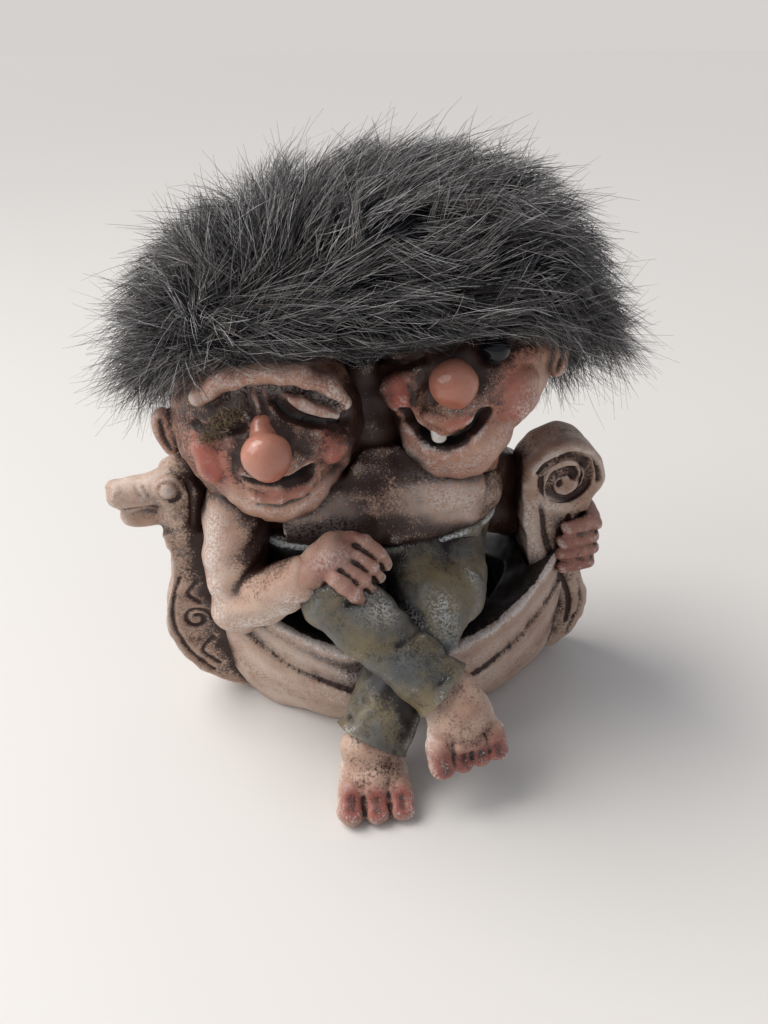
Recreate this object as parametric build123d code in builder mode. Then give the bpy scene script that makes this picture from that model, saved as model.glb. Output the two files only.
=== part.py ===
from build123d import *

import math
import os

# A two-headed troll sitting in a small double-ended ship: painted castings under a fur wig.
# Millimetres. +X runs towards the stern, -Y is the side that the legs hang over, +Z is up.
# The origin is the middle of the hull's flat foot, on the table.

# Hull: the flat foot, the bilge, the widest level and the top, from the table up
FOOT_LENGTH = 67.0
FOOT_BEAM = 32.0
BILGE_LENGTH = 71.0
BILGE_BEAM = 38.0
BILGE_HEIGHT = 5.0
HULL_LENGTH = 74.0
HULL_BEAM = 41.0
WIDE_HEIGHT = 14.0
TOP_LENGTH = 70.0
TOP_BEAM = 41.0
TOP_HEIGHT = 38.0
RIM_MID_HEIGHT = 19.0
RIM_END_HEIGHT = 34.0
LAP_MID_HEIGHT = 10.5
LAP_END_HEIGHT = 24.0
LAP_STEP = 0.8
HULL_WALL = 4.0
WELL_FLOOR_HEIGHT = 12.0
POST_LAP = 2.6

# Prow post: how far its outer edge stands past the hull's end, and how high
PROW_THICKNESS = 9.0
PROW_HEEL_HEIGHT = 1.5
PROW_ROOT = 8.0
PROW_SHIN = 4.0
PROW_SHIN_HEIGHT = 8.0
PROW_BULGE = 8.5
PROW_BULGE_HEIGHT = 20.0
PROW_THROAT = 5.5
PROW_THROAT_HEIGHT = 33.0
PROW_NECK = 6.5
PROW_NECK_HEIGHT = 41.0
PROW_NECK_WIDTH = 9.5
POST_ROUND = 2.4

# Prow's dragon head, measured from the top of the neck
SKULL_RADIUS = 5.4
SKULL_RISE = 7.0
NECK_BASE_RADIUS = 4.6
SNOUT_LENGTH = 9.5
SNOUT_RISE = 6.6
SNOUT_ROOT_RADIUS = 4.2
SNOUT_TIP_RADIUS = 3.1
JAW_LENGTH = 8.4
JAW_RISE = 1.3
JAW_ROOT_RADIUS = 2.8
JAW_TIP_RADIUS = 1.5
DRAGON_EYE_RADIUS = 2.3
DRAGON_EYE_PROUD = 4.4
CREST_LEAN = 2.6
CREST_RISE = 15.0
CREST_ROOT_RADIUS = 3.4
CREST_TIP_RADIUS = 1.8

# Stern post and its scroll
STERN_THICKNESS = 9.0
STERN_HEEL_HEIGHT = 1.5
STERN_ROOT = 8.0
STERN_SHIN = 1.5
STERN_SHIN_HEIGHT = 5.0
STERN_BULGE = 4.4
STERN_BULGE_HEIGHT = 16.0
STERN_WAIST = -0.2
STERN_WAIST_HEIGHT = 27.0
STERN_SHOULDER = 0.6
STERN_TOP_HEIGHT = 38.0
STERN_BAND_WIDTH = 13.0
SCROLL_RADIUS = 8.0
SCROLL_THICKNESS = 10.0
SCROLL_SETBACK = 5.6
SCROLL_RISE = 7.6
SCROLL_GROOVE = 1.5
SCROLL_GROOVE_DEPTH = 1.3
SCROLL_EYE = 1.4
SCROLL_TURNS = 1.45
SCROLL_RIM = 2.0
GROOVE_POINTS = 14

# Trouser seat, which sits in the hull's well, and the bare torso above it
SEAT_OFFSET = -4.0
SEAT_WIDTH = 36.0
SEAT_DEPTH = 23.0
HIP_WIDTH = 43.0
HIP_DEPTH = 27.0
HIP_HEIGHT = 27.0
WAIST_WIDTH = 46.0
WAIST_DEPTH = 25.0
WAIST_HEIGHT = 39.5
CHEST_WIDTH = 50.0
CHEST_DEPTH = 24.0
CHEST_HEIGHT = 46.0
SHOULDER_WIDTH = 42.0
SHOULDER_DEPTH = 20.0
SHOULDER_HEIGHT = 52.0
TORSO_TOP_WIDTH = 26.0
TORSO_TOP_DEPTH = 14.0
TORSO_TOP_HEIGHT = 57.0
WAISTBAND = 0.7

# Legs: joints are placed across from the seat's middle, forward of it, and above the table
THIGH_RADIUS = 8.6
CROSSED_HIP_ACROSS = -8.0
CROSSED_HIP_FORWARD = 2.0
CROSSED_HIP_HEIGHT = 29.0
CROSSED_KNEE_ACROSS = -9.0
CROSSED_KNEE_FORWARD = 19.0
CROSSED_KNEE_HEIGHT = 35.0
CROSSED_KNEE_RADIUS = 7.3
CROSSED_CUFF_ACROSS = 8.0
CROSSED_CUFF_FORWARD = 31.5
CROSSED_CUFF_HEIGHT = 21.5
CROSSED_CUFF_RADIUS = 6.2
UNDER_HIP_ACROSS = 10.0
UNDER_HIP_FORWARD = 1.0
UNDER_HIP_HEIGHT = 29.0
UNDER_KNEE_ACROSS = 8.5
UNDER_KNEE_FORWARD = 16.0
UNDER_KNEE_HEIGHT = 29.5
UNDER_KNEE_RADIUS = 8.0
UNDER_CUFF_ACROSS = -5.0
UNDER_CUFF_FORWARD = 30.0
UNDER_CUFF_HEIGHT = 9.5
UNDER_CUFF_RADIUS = 5.9
JOINT_SWELL = 0.2

# Feet
ANKLE_RADIUS = 4.5
ANKLE_TUCK = 3.0
HEEL_RADIUS = 4.2
BALL_WIDTH = 13.8
BALL_ROUND = 2.4
BALL_THICKNESS = 5.0
INSTEP_LENGTH = 8.0
TOE_COUNT = 4
TOE_PITCH = 3.3
TOE_RADIUS = 1.9
TOE_TIP_RADIUS = 1.7
TOE_LENGTH = 3.2
CROSSED_FOOT_TURN = 18.0
CROSSED_FOOT_DROP = 60.0
CROSSED_FOOT_ROLL = 12.0
UNDER_FOOT_TURN = -4.0
UNDER_FOOT_DROP = 20.0
UNDER_ANKLE_SHORT = 1.0
UNDER_ANKLE_HEIGHT = 5.4

# Arm that rests on the crossed knee
REST_SHOULDER_ACROSS = -25.0
REST_SHOULDER_FORWARD = 3.0
REST_SHOULDER_DROP = 6.5
REST_SHOULDER_RADIUS = 6.2
REST_ELBOW_ACROSS = -26.5
REST_ELBOW_FORWARD = 9.5
REST_ELBOW_HEIGHT = 27.5
REST_ELBOW_RADIUS = 5.3
REST_WRIST_SHORT = 5.6
REST_WRIST_BACK = 0.5
REST_WRIST_RISE = 4.6
REST_WRIST_RADIUS = 3.7
PALM_RADIUS = 4.4
PALM_REACH = 1.0
PALM_RISE = 7.6
FINGER_COUNT = 4
FINGER_PITCH = 2.8
FINGER_RADIUS = 1.6
FINGER_LENGTH = 7.4
HAND_TURN = 59.0
HAND_DROOP = 24.0
HAND_ROLL = 30.0

# Arm that reaches behind the stern post and grips it
GRIP_SHOULDER_ACROSS = 20.5
GRIP_SHOULDER_BACK = 3.0
GRIP_SHOULDER_DROP = 6.0
GRIP_SHOULDER_RADIUS = 6.2
GRIP_ELBOW_ACROSS = 30.0
GRIP_ELBOW_BACK = 11.0
GRIP_ELBOW_HEIGHT = 37.0
GRIP_ELBOW_RADIUS = 4.8
GRIP_WRIST_RADIUS = 3.6
GRIP_PALM_RADIUS = 4.6
GRIP_FINGER_RADIUS = 1.75
GRIP_FINGERTIP_RADIUS = 1.55
GRIP_FINGER_PITCH = 3.1
GRIP_FINGER_LENGTH = 5.4
GRIP_HEIGHT = 31.5

# Heads, in each head's own frame: across to the viewer's right, up, and out of the face
LEFT_HEAD_RADIUS = 16.8
LEFT_HEAD_ACROSS = -18.2
LEFT_HEAD_FORWARD = 4.0
LEFT_HEAD_HEIGHT = 61.5
LEFT_HEAD_LEAN = 7.0
LEFT_HEAD_TURN = 0.0
LEFT_HEAD_TILT = 0.0
RIGHT_HEAD_RADIUS = 16.2
RIGHT_HEAD_ACROSS = 14.8
RIGHT_HEAD_FORWARD = 2.0
RIGHT_HEAD_HEIGHT = 69.5
RIGHT_HEAD_LEAN = 3.0
RIGHT_HEAD_TURN = 15.0
RIGHT_HEAD_TILT = 6.0
FACE_OUT = 14.0
NECK_RADIUS = 7.5
NECK_LENGTH = 4.0
CHEEK_DROP = 2.0
CHIN_RADIUS = 9.0
CHIN_ROUND = 3.0
LEFT_CHIN_DROP = 17.0
RIGHT_CHIN_DROP = 20.0
CROWN_RADIUS = 12.0
CROWN_SHOULDER = 12.0
CROWN_RISE = 17.0
SOCKET_RADIUS = 4.0
SOCKET_ACROSS = 6.4
SOCKET_RISE = 5.0
SOCKET_OUT = 15.5
LID_RADIUS = 2.7
LID_SINK = 4.1
MOUTH_DEPTH = 4.0
LEFT_MOUTH_WIDTH = 13.0
LEFT_MOUTH_DROP = 5.0
LEFT_MOUTH_SAG = 1.6
LEFT_MOUTH_OPEN = 1.6
RIGHT_MOUTH_WIDTH = 15.0
RIGHT_MOUTH_DROP = 2.5
RIGHT_MOUTH_SAG = 4.2
RIGHT_MOUTH_OPEN = 2.8

# Small pieces set into the heads
NOSE_RADIUS = 3.9
NOSE_OUT = 16.4
NOSE_RISE = 1.6
BRIDGE_RADIUS = 2.2
BRIDGE_RISE = 5.0
BRIDGE_SINK = 3.2
EYE_RADIUS = 2.6
EYE_SEAT = 0.8
TOOTH_WIDTH = 2.7
TOOTH_HEIGHT = 2.9
TOOTH_DEPTH = 2.4
TOOTH_SHIFT = -1.8
TOOTH_OUT = 13.6

# Fur wig: a woven backing glued over both skulls, and the pile that stands on it
BACKING_THICKNESS = 1.0
SADDLE_RISE = 11.0
SADDLE_RADIUS = 4.0
HAIRLINE_FRONT_HEIGHT = 82.5
HAIRLINE_BACK_HEIGHT = 58.0
HAIRLINE_INSET = 3.0
PILE_WIDTH = 84.0
PILE_DEPTH = 46.0
PILE_HEIGHT = 50.0
PILE_ACROSS = 1.5
PILE_BACK = 1.5
PILE_MIDDLE_HEIGHT = 79.0
# Each row is a slice of the pile from the prow side to the stern side: its place along the width,
# its depth, its height and how far its middle is lifted, as shares of the width, depth and height
PILE_SLICE_SHARES = (
    (-0.50, 0.16, 0.16, -0.02),
    (-0.44, 0.50, 0.46, -0.04),
    (-0.31, 0.80, 0.78, -0.02),
    (-0.14, 0.95, 0.94, 0.00),
    (0.04, 1.00, 1.00, 0.00),
    (0.22, 0.94, 0.95, 0.00),
    (0.36, 0.74, 0.78, -0.03),
    (0.45, 0.46, 0.52, -0.08),
    (0.50, 0.16, 0.22, -0.12),
)

# One overrun lets every cutting block pass right through what it cuts
OVERRUN = 40.0
FORWARD = Vector(0, -1, 0)
UP = Vector(0, 0, 1)


def place(across, forward, height):
    """A point measured across from the seat's middle, forward of it and above the table."""
    return Vector(SEAT_OFFSET + across, -forward, height)


def aimed(origin, turn, drop, roll):
    """A frame whose z points forward, turned towards the stern and dropped; x is rolled up."""
    level = Plane(origin, x_dir=(1, 0, 0), z_dir=FORWARD)
    return level.rotated((0, -roll, 0)).rotated((drop, 0, 0)).rotated((0, 0, turn))


def tapered(start, end, start_radius, end_radius):
    """Adds a straight limb that narrows from one joint to the next."""
    length = (end - start).length
    seat = (Align.CENTER, Align.CENTER, Align.MIN)
    with Locations(Plane(start, z_dir=end - start)):
        if start_radius == end_radius:
            Cylinder(start_radius, length, align=seat)
        else:
            Cone(start_radius, end_radius, length, align=seat)


def ball(centre, radius, mode=Mode.ADD):
    """Adds or cuts a ball."""
    with Locations(centre):
        Sphere(radius, mode=mode)


def limb(joints, radii):
    """Adds a limb through its joints, with a slightly swollen ball at each one."""
    for start, end, start_radius, end_radius in zip(joints, joints[1:], radii, radii[1:]):
        tapered(start, end, start_radius, end_radius)
    for joint, radius in zip(joints, radii):
        ball(joint, radius + JOINT_SWELL)


def cut_by(*neighbours):
    """Takes the neighbours' material away, so that the piece meets them face to face."""
    for neighbour in neighbours:
        add(neighbour.part, mode=Mode.SUBTRACT)


def ship_section(height, length, beam):
    """A double-ended outline of two arcs at one height."""
    with BuildSketch(Plane.XY.offset(height)) as section:
        with BuildLine():
            ThreePointArc((-length / 2, 0), (0, -beam / 2), (length / 2, 0))
            ThreePointArc((length / 2, 0), (0, beam / 2), (-length / 2, 0))
        make_face()
    return section.sketch


def ship_body(grow):
    """Adds the hull's outer body, grown by a step all round."""
    levels = (
        (0, FOOT_LENGTH, FOOT_BEAM),
        (BILGE_HEIGHT, BILGE_LENGTH, BILGE_BEAM),
        (WIDE_HEIGHT, HULL_LENGTH, HULL_BEAM),
        (TOP_HEIGHT, TOP_LENGTH, TOP_BEAM),
    )
    loft([ship_section(z, length + 2 * grow, beam + 2 * grow) for z, length, beam in levels])


def cut_above(mid_height, end_height):
    """Cuts the hull along a line that rises from amidships to both ends."""
    with BuildSketch(Plane.XZ) as waste:
        with BuildLine():
            ThreePointArc(
                (-HULL_LENGTH / 2, end_height), (0, mid_height), (HULL_LENGTH / 2, end_height)
            )
            Polyline(
                (HULL_LENGTH / 2, end_height),
                (HULL_LENGTH / 2 + OVERRUN, end_height),
                (HULL_LENGTH / 2 + OVERRUN, TOP_HEIGHT + OVERRUN),
                (-HULL_LENGTH / 2 - OVERRUN, TOP_HEIGHT + OVERRUN),
                (-HULL_LENGTH / 2 - OVERRUN, end_height),
                (-HULL_LENGTH / 2, end_height),
            )
        make_face()
    extrude(waste.sketch, amount=HULL_BEAM, both=True, mode=Mode.SUBTRACT)


# Posts and their carved ends
prow_end = -HULL_LENGTH / 2
stern_end = HULL_LENGTH / 2
prow_neck_middle = prow_end - PROW_NECK + PROW_NECK_WIDTH / 2

with BuildPart() as prow_post:
    with BuildSketch(Plane.XZ):
        with BuildLine():
            Spline(
                (prow_end + PROW_ROOT, PROW_HEEL_HEIGHT),
                (prow_end - PROW_SHIN, PROW_SHIN_HEIGHT),
                (prow_end - PROW_BULGE, PROW_BULGE_HEIGHT),
                (prow_end - PROW_THROAT, PROW_THROAT_HEIGHT),
                (prow_end - PROW_NECK, PROW_NECK_HEIGHT),
            )
            Polyline(
                (prow_end - PROW_NECK, PROW_NECK_HEIGHT),
                (prow_end - PROW_NECK + PROW_NECK_WIDTH, PROW_NECK_HEIGHT),
                (prow_end - PROW_THROAT + PROW_NECK_WIDTH, PROW_THROAT_HEIGHT),
                (prow_end + PROW_ROOT, PROW_BULGE_HEIGHT),
                (prow_end + PROW_ROOT, PROW_HEEL_HEIGHT),
            )
        make_face()
    extrude(amount=PROW_THICKNESS / 2, both=True)
    fillet(
        prow_post.edges().filter_by(GeomType.BSPLINE).sort_by(Axis.X)[:2],
        radius=POST_ROUND,
    )
prow_post.part.label = "prow_post"

with BuildPart() as dragon_head:
    neck_top = Vector(prow_neck_middle, 0, PROW_NECK_HEIGHT)
    skull = neck_top + UP * SKULL_RISE
    snout_tip = neck_top + Vector(-SNOUT_LENGTH, 0, SNOUT_RISE)
    jaw_tip = neck_top + Vector(-JAW_LENGTH, 0, JAW_RISE)
    crest_tip = neck_top + Vector(CREST_LEAN, 0, CREST_RISE)
    ball(skull, SKULL_RADIUS)
    tapered(neck_top, skull, NECK_BASE_RADIUS, NECK_BASE_RADIUS)
    tapered(skull, snout_tip, SNOUT_ROOT_RADIUS, SNOUT_TIP_RADIUS)
    ball(snout_tip, SNOUT_TIP_RADIUS + JOINT_SWELL)
    tapered(neck_top + UP * JAW_ROOT_RADIUS, jaw_tip, JAW_ROOT_RADIUS, JAW_TIP_RADIUS)
    ball(jaw_tip, JAW_TIP_RADIUS + JOINT_SWELL)
    tapered(skull, crest_tip, CREST_ROOT_RADIUS, CREST_TIP_RADIUS)
    ball(crest_tip, CREST_TIP_RADIUS + JOINT_SWELL)
    with Locations(Plane(skull, z_dir=FORWARD)):
        Cylinder(DRAGON_EYE_RADIUS, 2 * (DRAGON_EYE_PROUD + JOINT_SWELL))
    with BuildSketch(Plane.XY.offset(PROW_NECK_HEIGHT)) as below_neck:
        with Locations((prow_neck_middle, 0)):
            Rectangle(OVERRUN, OVERRUN)
    extrude(below_neck.sketch, amount=-OVERRUN, mode=Mode.SUBTRACT)
dragon_head.part.label = "dragon_head"

with BuildPart() as stern_post:
    stern_inner = stern_end + STERN_SHOULDER - STERN_BAND_WIDTH
    with BuildSketch(Plane.XZ):
        with BuildLine():
            Spline(
                (stern_end - STERN_ROOT, STERN_HEEL_HEIGHT),
                (stern_end + STERN_SHIN, STERN_SHIN_HEIGHT),
                (stern_end + STERN_BULGE, STERN_BULGE_HEIGHT),
                (stern_end + STERN_WAIST, STERN_WAIST_HEIGHT),
                (stern_end + STERN_SHOULDER, STERN_TOP_HEIGHT),
            )
            Polyline(
                (stern_end + STERN_SHOULDER, STERN_TOP_HEIGHT),
                (stern_inner, STERN_TOP_HEIGHT),
                (stern_end - STERN_ROOT, STERN_BULGE_HEIGHT),
                (stern_end - STERN_ROOT, STERN_HEEL_HEIGHT),
            )
        make_face()
    extrude(amount=STERN_THICKNESS / 2, both=True)
    fillet(
        stern_post.edges().filter_by(GeomType.BSPLINE).sort_by(Axis.X)[-2:],
        radius=POST_ROUND,
    )
stern_post.part.label = "stern_post"

scroll_middle = Vector(
    stern_end + STERN_SHOULDER - SCROLL_SETBACK, 0, STERN_TOP_HEIGHT + SCROLL_RISE
)
with BuildPart() as stern_scroll:
    with Locations(Plane(scroll_middle, z_dir=FORWARD)):
        Cylinder(SCROLL_RADIUS, SCROLL_THICKNESS)
    fillet(stern_scroll.edges().filter_by(GeomType.CIRCLE), radius=SCROLL_RIM)
    with BuildSketch(Plane.XZ) as stem:
        with BuildLine():
            Polyline(
                (stern_inner, STERN_TOP_HEIGHT),
                (stern_end + STERN_SHOULDER, STERN_TOP_HEIGHT),
                (scroll_middle.X + SCROLL_RADIUS, scroll_middle.Z),
                (scroll_middle.X - SCROLL_RADIUS, scroll_middle.Z),
                close=True,
            )
        make_face()
    extrude(stem.sketch, amount=STERN_THICKNESS / 2, both=True)
    for side in (FORWARD, -FORWARD):
        face = Plane(
            scroll_middle + side * (SCROLL_THICKNESS / 2), x_dir=(side.Y, 0, 0), z_dir=side
        )
        groove_end = SCROLL_RADIUS - SCROLL_RIM
        with BuildSketch(face, mode=Mode.PRIVATE) as groove:
            with BuildLine() as spiral:
                turns = [SCROLL_TURNS * i / GROOVE_POINTS for i in range(GROOVE_POINTS + 1)]
                reaches = [
                    SCROLL_EYE + (groove_end - SCROLL_EYE) * turn / SCROLL_TURNS for turn in turns
                ]
                Spline(
                    [
                        (
                            -reach * math.cos(math.tau * turn),
                            -reach * math.sin(math.tau * turn),
                        )
                        for turn, reach in zip(turns, reaches)
                    ]
                )
            trace(spiral.line, line_width=SCROLL_GROOVE)
        extrude(groove.sketch, amount=-SCROLL_GROOVE_DEPTH, mode=Mode.SUBTRACT)
    cut_by(stern_post)
stern_scroll.part.label = "stern_scroll"

# Hull, with its lower strake standing proud of the upper one and a well for the seat
with BuildPart() as lower_strake:
    ship_body(LAP_STEP)
    cut_above(LAP_MID_HEIGHT, LAP_END_HEIGHT)

with BuildPart() as hull:
    ship_body(0)
    cut_above(RIM_MID_HEIGHT, RIM_END_HEIGHT)
    add(lower_strake.part)
    with BuildSketch(Plane.XY) as between_tips:
        Rectangle(HULL_LENGTH - 2 * POST_LAP, 2 * HULL_BEAM)
    extrude(between_tips.sketch, amount=TOP_HEIGHT, mode=Mode.INTERSECT)
    loft(
        [
            ship_section(height, length - 2 * HULL_WALL, beam - 2 * HULL_WALL)
            for height, length, beam in (
                (WELL_FLOOR_HEIGHT, BILGE_LENGTH - 2 * PROW_ROOT, BILGE_BEAM),
                (TOP_HEIGHT, TOP_LENGTH - 2 * PROW_ROOT, TOP_BEAM),
            )
        ],
        mode=Mode.SUBTRACT,
    )
    cut_by(prow_post, stern_post)
hull.part.label = "hull"

# Trousers and torso
with BuildPart() as trouser_seat:
    slices = (
        (WELL_FLOOR_HEIGHT, SEAT_WIDTH, SEAT_DEPTH),
        (HIP_HEIGHT, HIP_WIDTH, HIP_DEPTH),
        (WAIST_HEIGHT, WAIST_WIDTH + WAISTBAND, WAIST_DEPTH + WAISTBAND),
    )
    for height, width, depth in slices:
        with BuildSketch(Plane.XY.offset(height)):
            with Locations((SEAT_OFFSET, 0)):
                Ellipse(width / 2, depth / 2)
    loft()
    cut_by(hull, prow_post)
trouser_seat.part.label = "trouser_seat"

with BuildPart() as torso:
    slices = (
        (WAIST_HEIGHT, WAIST_WIDTH, WAIST_DEPTH),
        (CHEST_HEIGHT, CHEST_WIDTH, CHEST_DEPTH),
        (SHOULDER_HEIGHT, SHOULDER_WIDTH, SHOULDER_DEPTH),
        (TORSO_TOP_HEIGHT, TORSO_TOP_WIDTH, TORSO_TOP_DEPTH),
    )
    for height, width, depth in slices:
        with BuildSketch(Plane.XY.offset(height)):
            with Locations((SEAT_OFFSET, 0)):
                Ellipse(width / 2, depth / 2)
    loft()
    cut_by(prow_post, dragon_head)

# Heads
def head_frame(across, forward, height, lean, turn, tilt):
    """A head's frame: x to the viewer's right, y up and z out of the face."""
    return aimed(place(across, forward, height), -turn, -tilt, lean)


def spot(frame, across, up, out):
    """A point given in a head's own frame."""
    return frame.from_local_coords(Vector(across, up, out))


def mouth(frame, width, drop, sag, opening):
    """Cuts a smile whose corners stand higher than its middle."""
    front = Plane(spot(frame, 0, 0, FACE_OUT + MOUTH_DEPTH), x_dir=frame.x_dir, z_dir=frame.z_dir)
    with BuildSketch(front, mode=Mode.PRIVATE) as smile:
        with BuildLine():
            ThreePointArc((-width / 2, -drop), (0, -drop - sag), (width / 2, -drop))
            ThreePointArc((width / 2, -drop), (0, -drop - sag - opening), (-width / 2, -drop))
        make_face()
    extrude(smile.sketch, amount=-2 * MOUTH_DEPTH, mode=Mode.SUBTRACT)


def skull(frame, radius, chin_drop, grow):
    """Adds a head turned about its upright axis, wide at the cheeks, with its seam behind."""
    middle = frame.origin - frame.z_dir * (radius - FACE_OUT)
    with BuildSketch(
        Plane(middle, x_dir=-frame.z_dir, z_dir=frame.x_dir), mode=Mode.PRIVATE
    ) as half:
        with BuildLine():
            Spline(
                (0, -chin_drop - grow),
                (CHIN_RADIUS + grow, -chin_drop + CHIN_ROUND - grow),
                (radius + grow, -CHEEK_DROP),
                (CROWN_RADIUS + grow, CROWN_SHOULDER + grow),
                (0, CROWN_RISE + grow),
                tangents=((1, 0), (-1, 0)),
            )
            Line((0, CROWN_RISE + grow), (0, -chin_drop - grow))
        make_face()
    revolve(half.sketch, axis=Axis(middle, frame.y_dir))


def cast_head(frame, radius, chin_drop):
    """Adds a skull and cuts its eye sockets."""
    skull(frame, radius, chin_drop, 0)
    for side in (-1, 1):
        socket = spot(frame, side * SOCKET_ACROSS, SOCKET_RISE, SOCKET_OUT)
        ball(socket, SOCKET_RADIUS, mode=Mode.SUBTRACT)


def closed_lid(frame, side):
    """Adds the lid of a shut eye in its socket."""
    ball(spot(frame, side * SOCKET_ACROSS, SOCKET_RISE, SOCKET_OUT - LID_SINK), LID_RADIUS)


def neck(frame, radius):
    """Adds the short neck that plugs into the torso."""
    top = frame.origin - frame.z_dir * (radius - FACE_OUT)
    tapered(top, top - UP * (radius + NECK_LENGTH), NECK_RADIUS, NECK_RADIUS)


left_frame = head_frame(
    LEFT_HEAD_ACROSS,
    LEFT_HEAD_FORWARD,
    LEFT_HEAD_HEIGHT,
    LEFT_HEAD_LEAN,
    LEFT_HEAD_TURN,
    LEFT_HEAD_TILT,
)
right_frame = head_frame(
    RIGHT_HEAD_ACROSS,
    RIGHT_HEAD_FORWARD,
    RIGHT_HEAD_HEIGHT,
    RIGHT_HEAD_LEAN,
    RIGHT_HEAD_TURN,
    RIGHT_HEAD_TILT,
)

with BuildPart() as left_head:
    cast_head(left_frame, LEFT_HEAD_RADIUS, LEFT_CHIN_DROP)
    mouth(left_frame, LEFT_MOUTH_WIDTH, LEFT_MOUTH_DROP, LEFT_MOUTH_SAG, LEFT_MOUTH_OPEN)
    for side in (-1, 1):
        closed_lid(left_frame, side)
    neck(left_frame, LEFT_HEAD_RADIUS)
    cut_by(dragon_head)
left_head.part.label = "left_head"

with BuildPart() as right_head:
    cast_head(right_frame, RIGHT_HEAD_RADIUS, RIGHT_CHIN_DROP)
    mouth(right_frame, RIGHT_MOUTH_WIDTH, RIGHT_MOUTH_DROP, RIGHT_MOUTH_SAG, RIGHT_MOUTH_OPEN)
    closed_lid(right_frame, -1)
    neck(right_frame, RIGHT_HEAD_RADIUS)
    cut_by(left_head, stern_scroll)
right_head.part.label = "right_head"

with torso:
    cut_by(left_head, right_head)
torso.part.label = "torso"

# Noses, eye and tooth, each let into its head
def nose(frame):
    """Adds a round nose with a short bridge running up from it."""
    middle = spot(frame, 0, NOSE_RISE, NOSE_OUT)
    bridge_top = spot(frame, 0, NOSE_RISE + BRIDGE_RISE, NOSE_OUT - BRIDGE_SINK)
    ball(middle, NOSE_RADIUS)
    tapered(middle, bridge_top, NOSE_RADIUS - JOINT_SWELL, BRIDGE_RADIUS)


with BuildPart() as left_nose:
    nose(left_frame)
    cut_by(left_head)
left_nose.part.label = "left_nose"

with BuildPart() as right_nose:
    nose(right_frame)
    cut_by(right_head)
right_nose.part.label = "right_nose"

with BuildPart() as glass_eye:
    eye_out = SOCKET_OUT - SOCKET_RADIUS + EYE_RADIUS - EYE_SEAT
    ball(spot(right_frame, SOCKET_ACROSS, SOCKET_RISE, eye_out), EYE_RADIUS)
glass_eye.part.label = "glass_eye"

with right_head:
    cut_by(glass_eye)
right_head.part.label = "right_head"

with BuildPart() as tooth:
    lip = spot(right_frame, TOOTH_SHIFT, -RIGHT_MOUTH_DROP - RIGHT_MOUTH_SAG, TOOTH_OUT)
    with Locations(Plane(lip, x_dir=right_frame.x_dir, z_dir=right_frame.z_dir)):
        Box(TOOTH_WIDTH, TOOTH_HEIGHT, TOOTH_DEPTH)
    cut_by(right_head)
tooth.part.label = "tooth"

# Legs and feet
with BuildPart() as crossed_leg:
    crossed_cuff = place(CROSSED_CUFF_ACROSS, CROSSED_CUFF_FORWARD, CROSSED_CUFF_HEIGHT)
    crossed_knee = place(CROSSED_KNEE_ACROSS, CROSSED_KNEE_FORWARD, CROSSED_KNEE_HEIGHT)
    crossed_hip = place(CROSSED_HIP_ACROSS, CROSSED_HIP_FORWARD, CROSSED_HIP_HEIGHT)
    limb((crossed_hip, crossed_knee), (THIGH_RADIUS, CROSSED_KNEE_RADIUS))
    tapered(crossed_knee, crossed_cuff, CROSSED_KNEE_RADIUS, CROSSED_CUFF_RADIUS)
    cut_by(trouser_seat, torso, hull)
crossed_leg.part.label = "crossed_leg"

with BuildPart() as under_leg:
    under_cuff = place(UNDER_CUFF_ACROSS, UNDER_CUFF_FORWARD, UNDER_CUFF_HEIGHT)
    under_knee = place(UNDER_KNEE_ACROSS, UNDER_KNEE_FORWARD, UNDER_KNEE_HEIGHT)
    under_hip = place(UNDER_HIP_ACROSS, UNDER_HIP_FORWARD, UNDER_HIP_HEIGHT)
    limb((under_hip, under_knee), (THIGH_RADIUS, UNDER_KNEE_RADIUS))
    tapered(under_knee, under_cuff, UNDER_KNEE_RADIUS, UNDER_CUFF_RADIUS)
    cut_by(trouser_seat, torso, hull, crossed_leg)
under_leg.part.label = "under_leg"


def foot(frame, cuff):
    """Adds a bare foot that points along the frame's z, with its ankle up inside the cuff."""
    sole = Plane(frame.origin, x_dir=frame.x_dir, z_dir=frame.y_dir)
    ball_across = BALL_WIDTH / 2 - BALL_ROUND
    with BuildSketch(sole, mode=Mode.PRIVATE) as outline:
        Circle(HEEL_RADIUS)
        with Locations((-ball_across, -INSTEP_LENGTH), (ball_across, -INSTEP_LENGTH)):
            Circle(BALL_ROUND)
        make_hull()
    extrude(outline.sketch, amount=BALL_THICKNESS / 2, both=True)
    tapered(frame.origin, cuff, ANKLE_RADIUS, ANKLE_RADIUS)
    for i in range(TOE_COUNT):
        across = (i - (TOE_COUNT - 1) / 2) * TOE_PITCH
        root = spot(frame, across, 0, INSTEP_LENGTH - TOE_RADIUS)
        tip = spot(frame, across, 0, INSTEP_LENGTH + TOE_LENGTH - TOE_RADIUS)
        tapered(root, tip, TOE_RADIUS, TOE_TIP_RADIUS)
        ball(tip, TOE_TIP_RADIUS + JOINT_SWELL)


with BuildPart() as crossed_foot:
    shin = (crossed_cuff - crossed_knee).normalized()
    crossed_ankle = crossed_cuff + shin * ANKLE_TUCK
    foot(aimed(crossed_ankle, CROSSED_FOOT_TURN, CROSSED_FOOT_DROP, CROSSED_FOOT_ROLL), crossed_cuff)
    cut_by(crossed_leg, under_leg)
crossed_foot.part.label = "crossed_foot"

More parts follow.
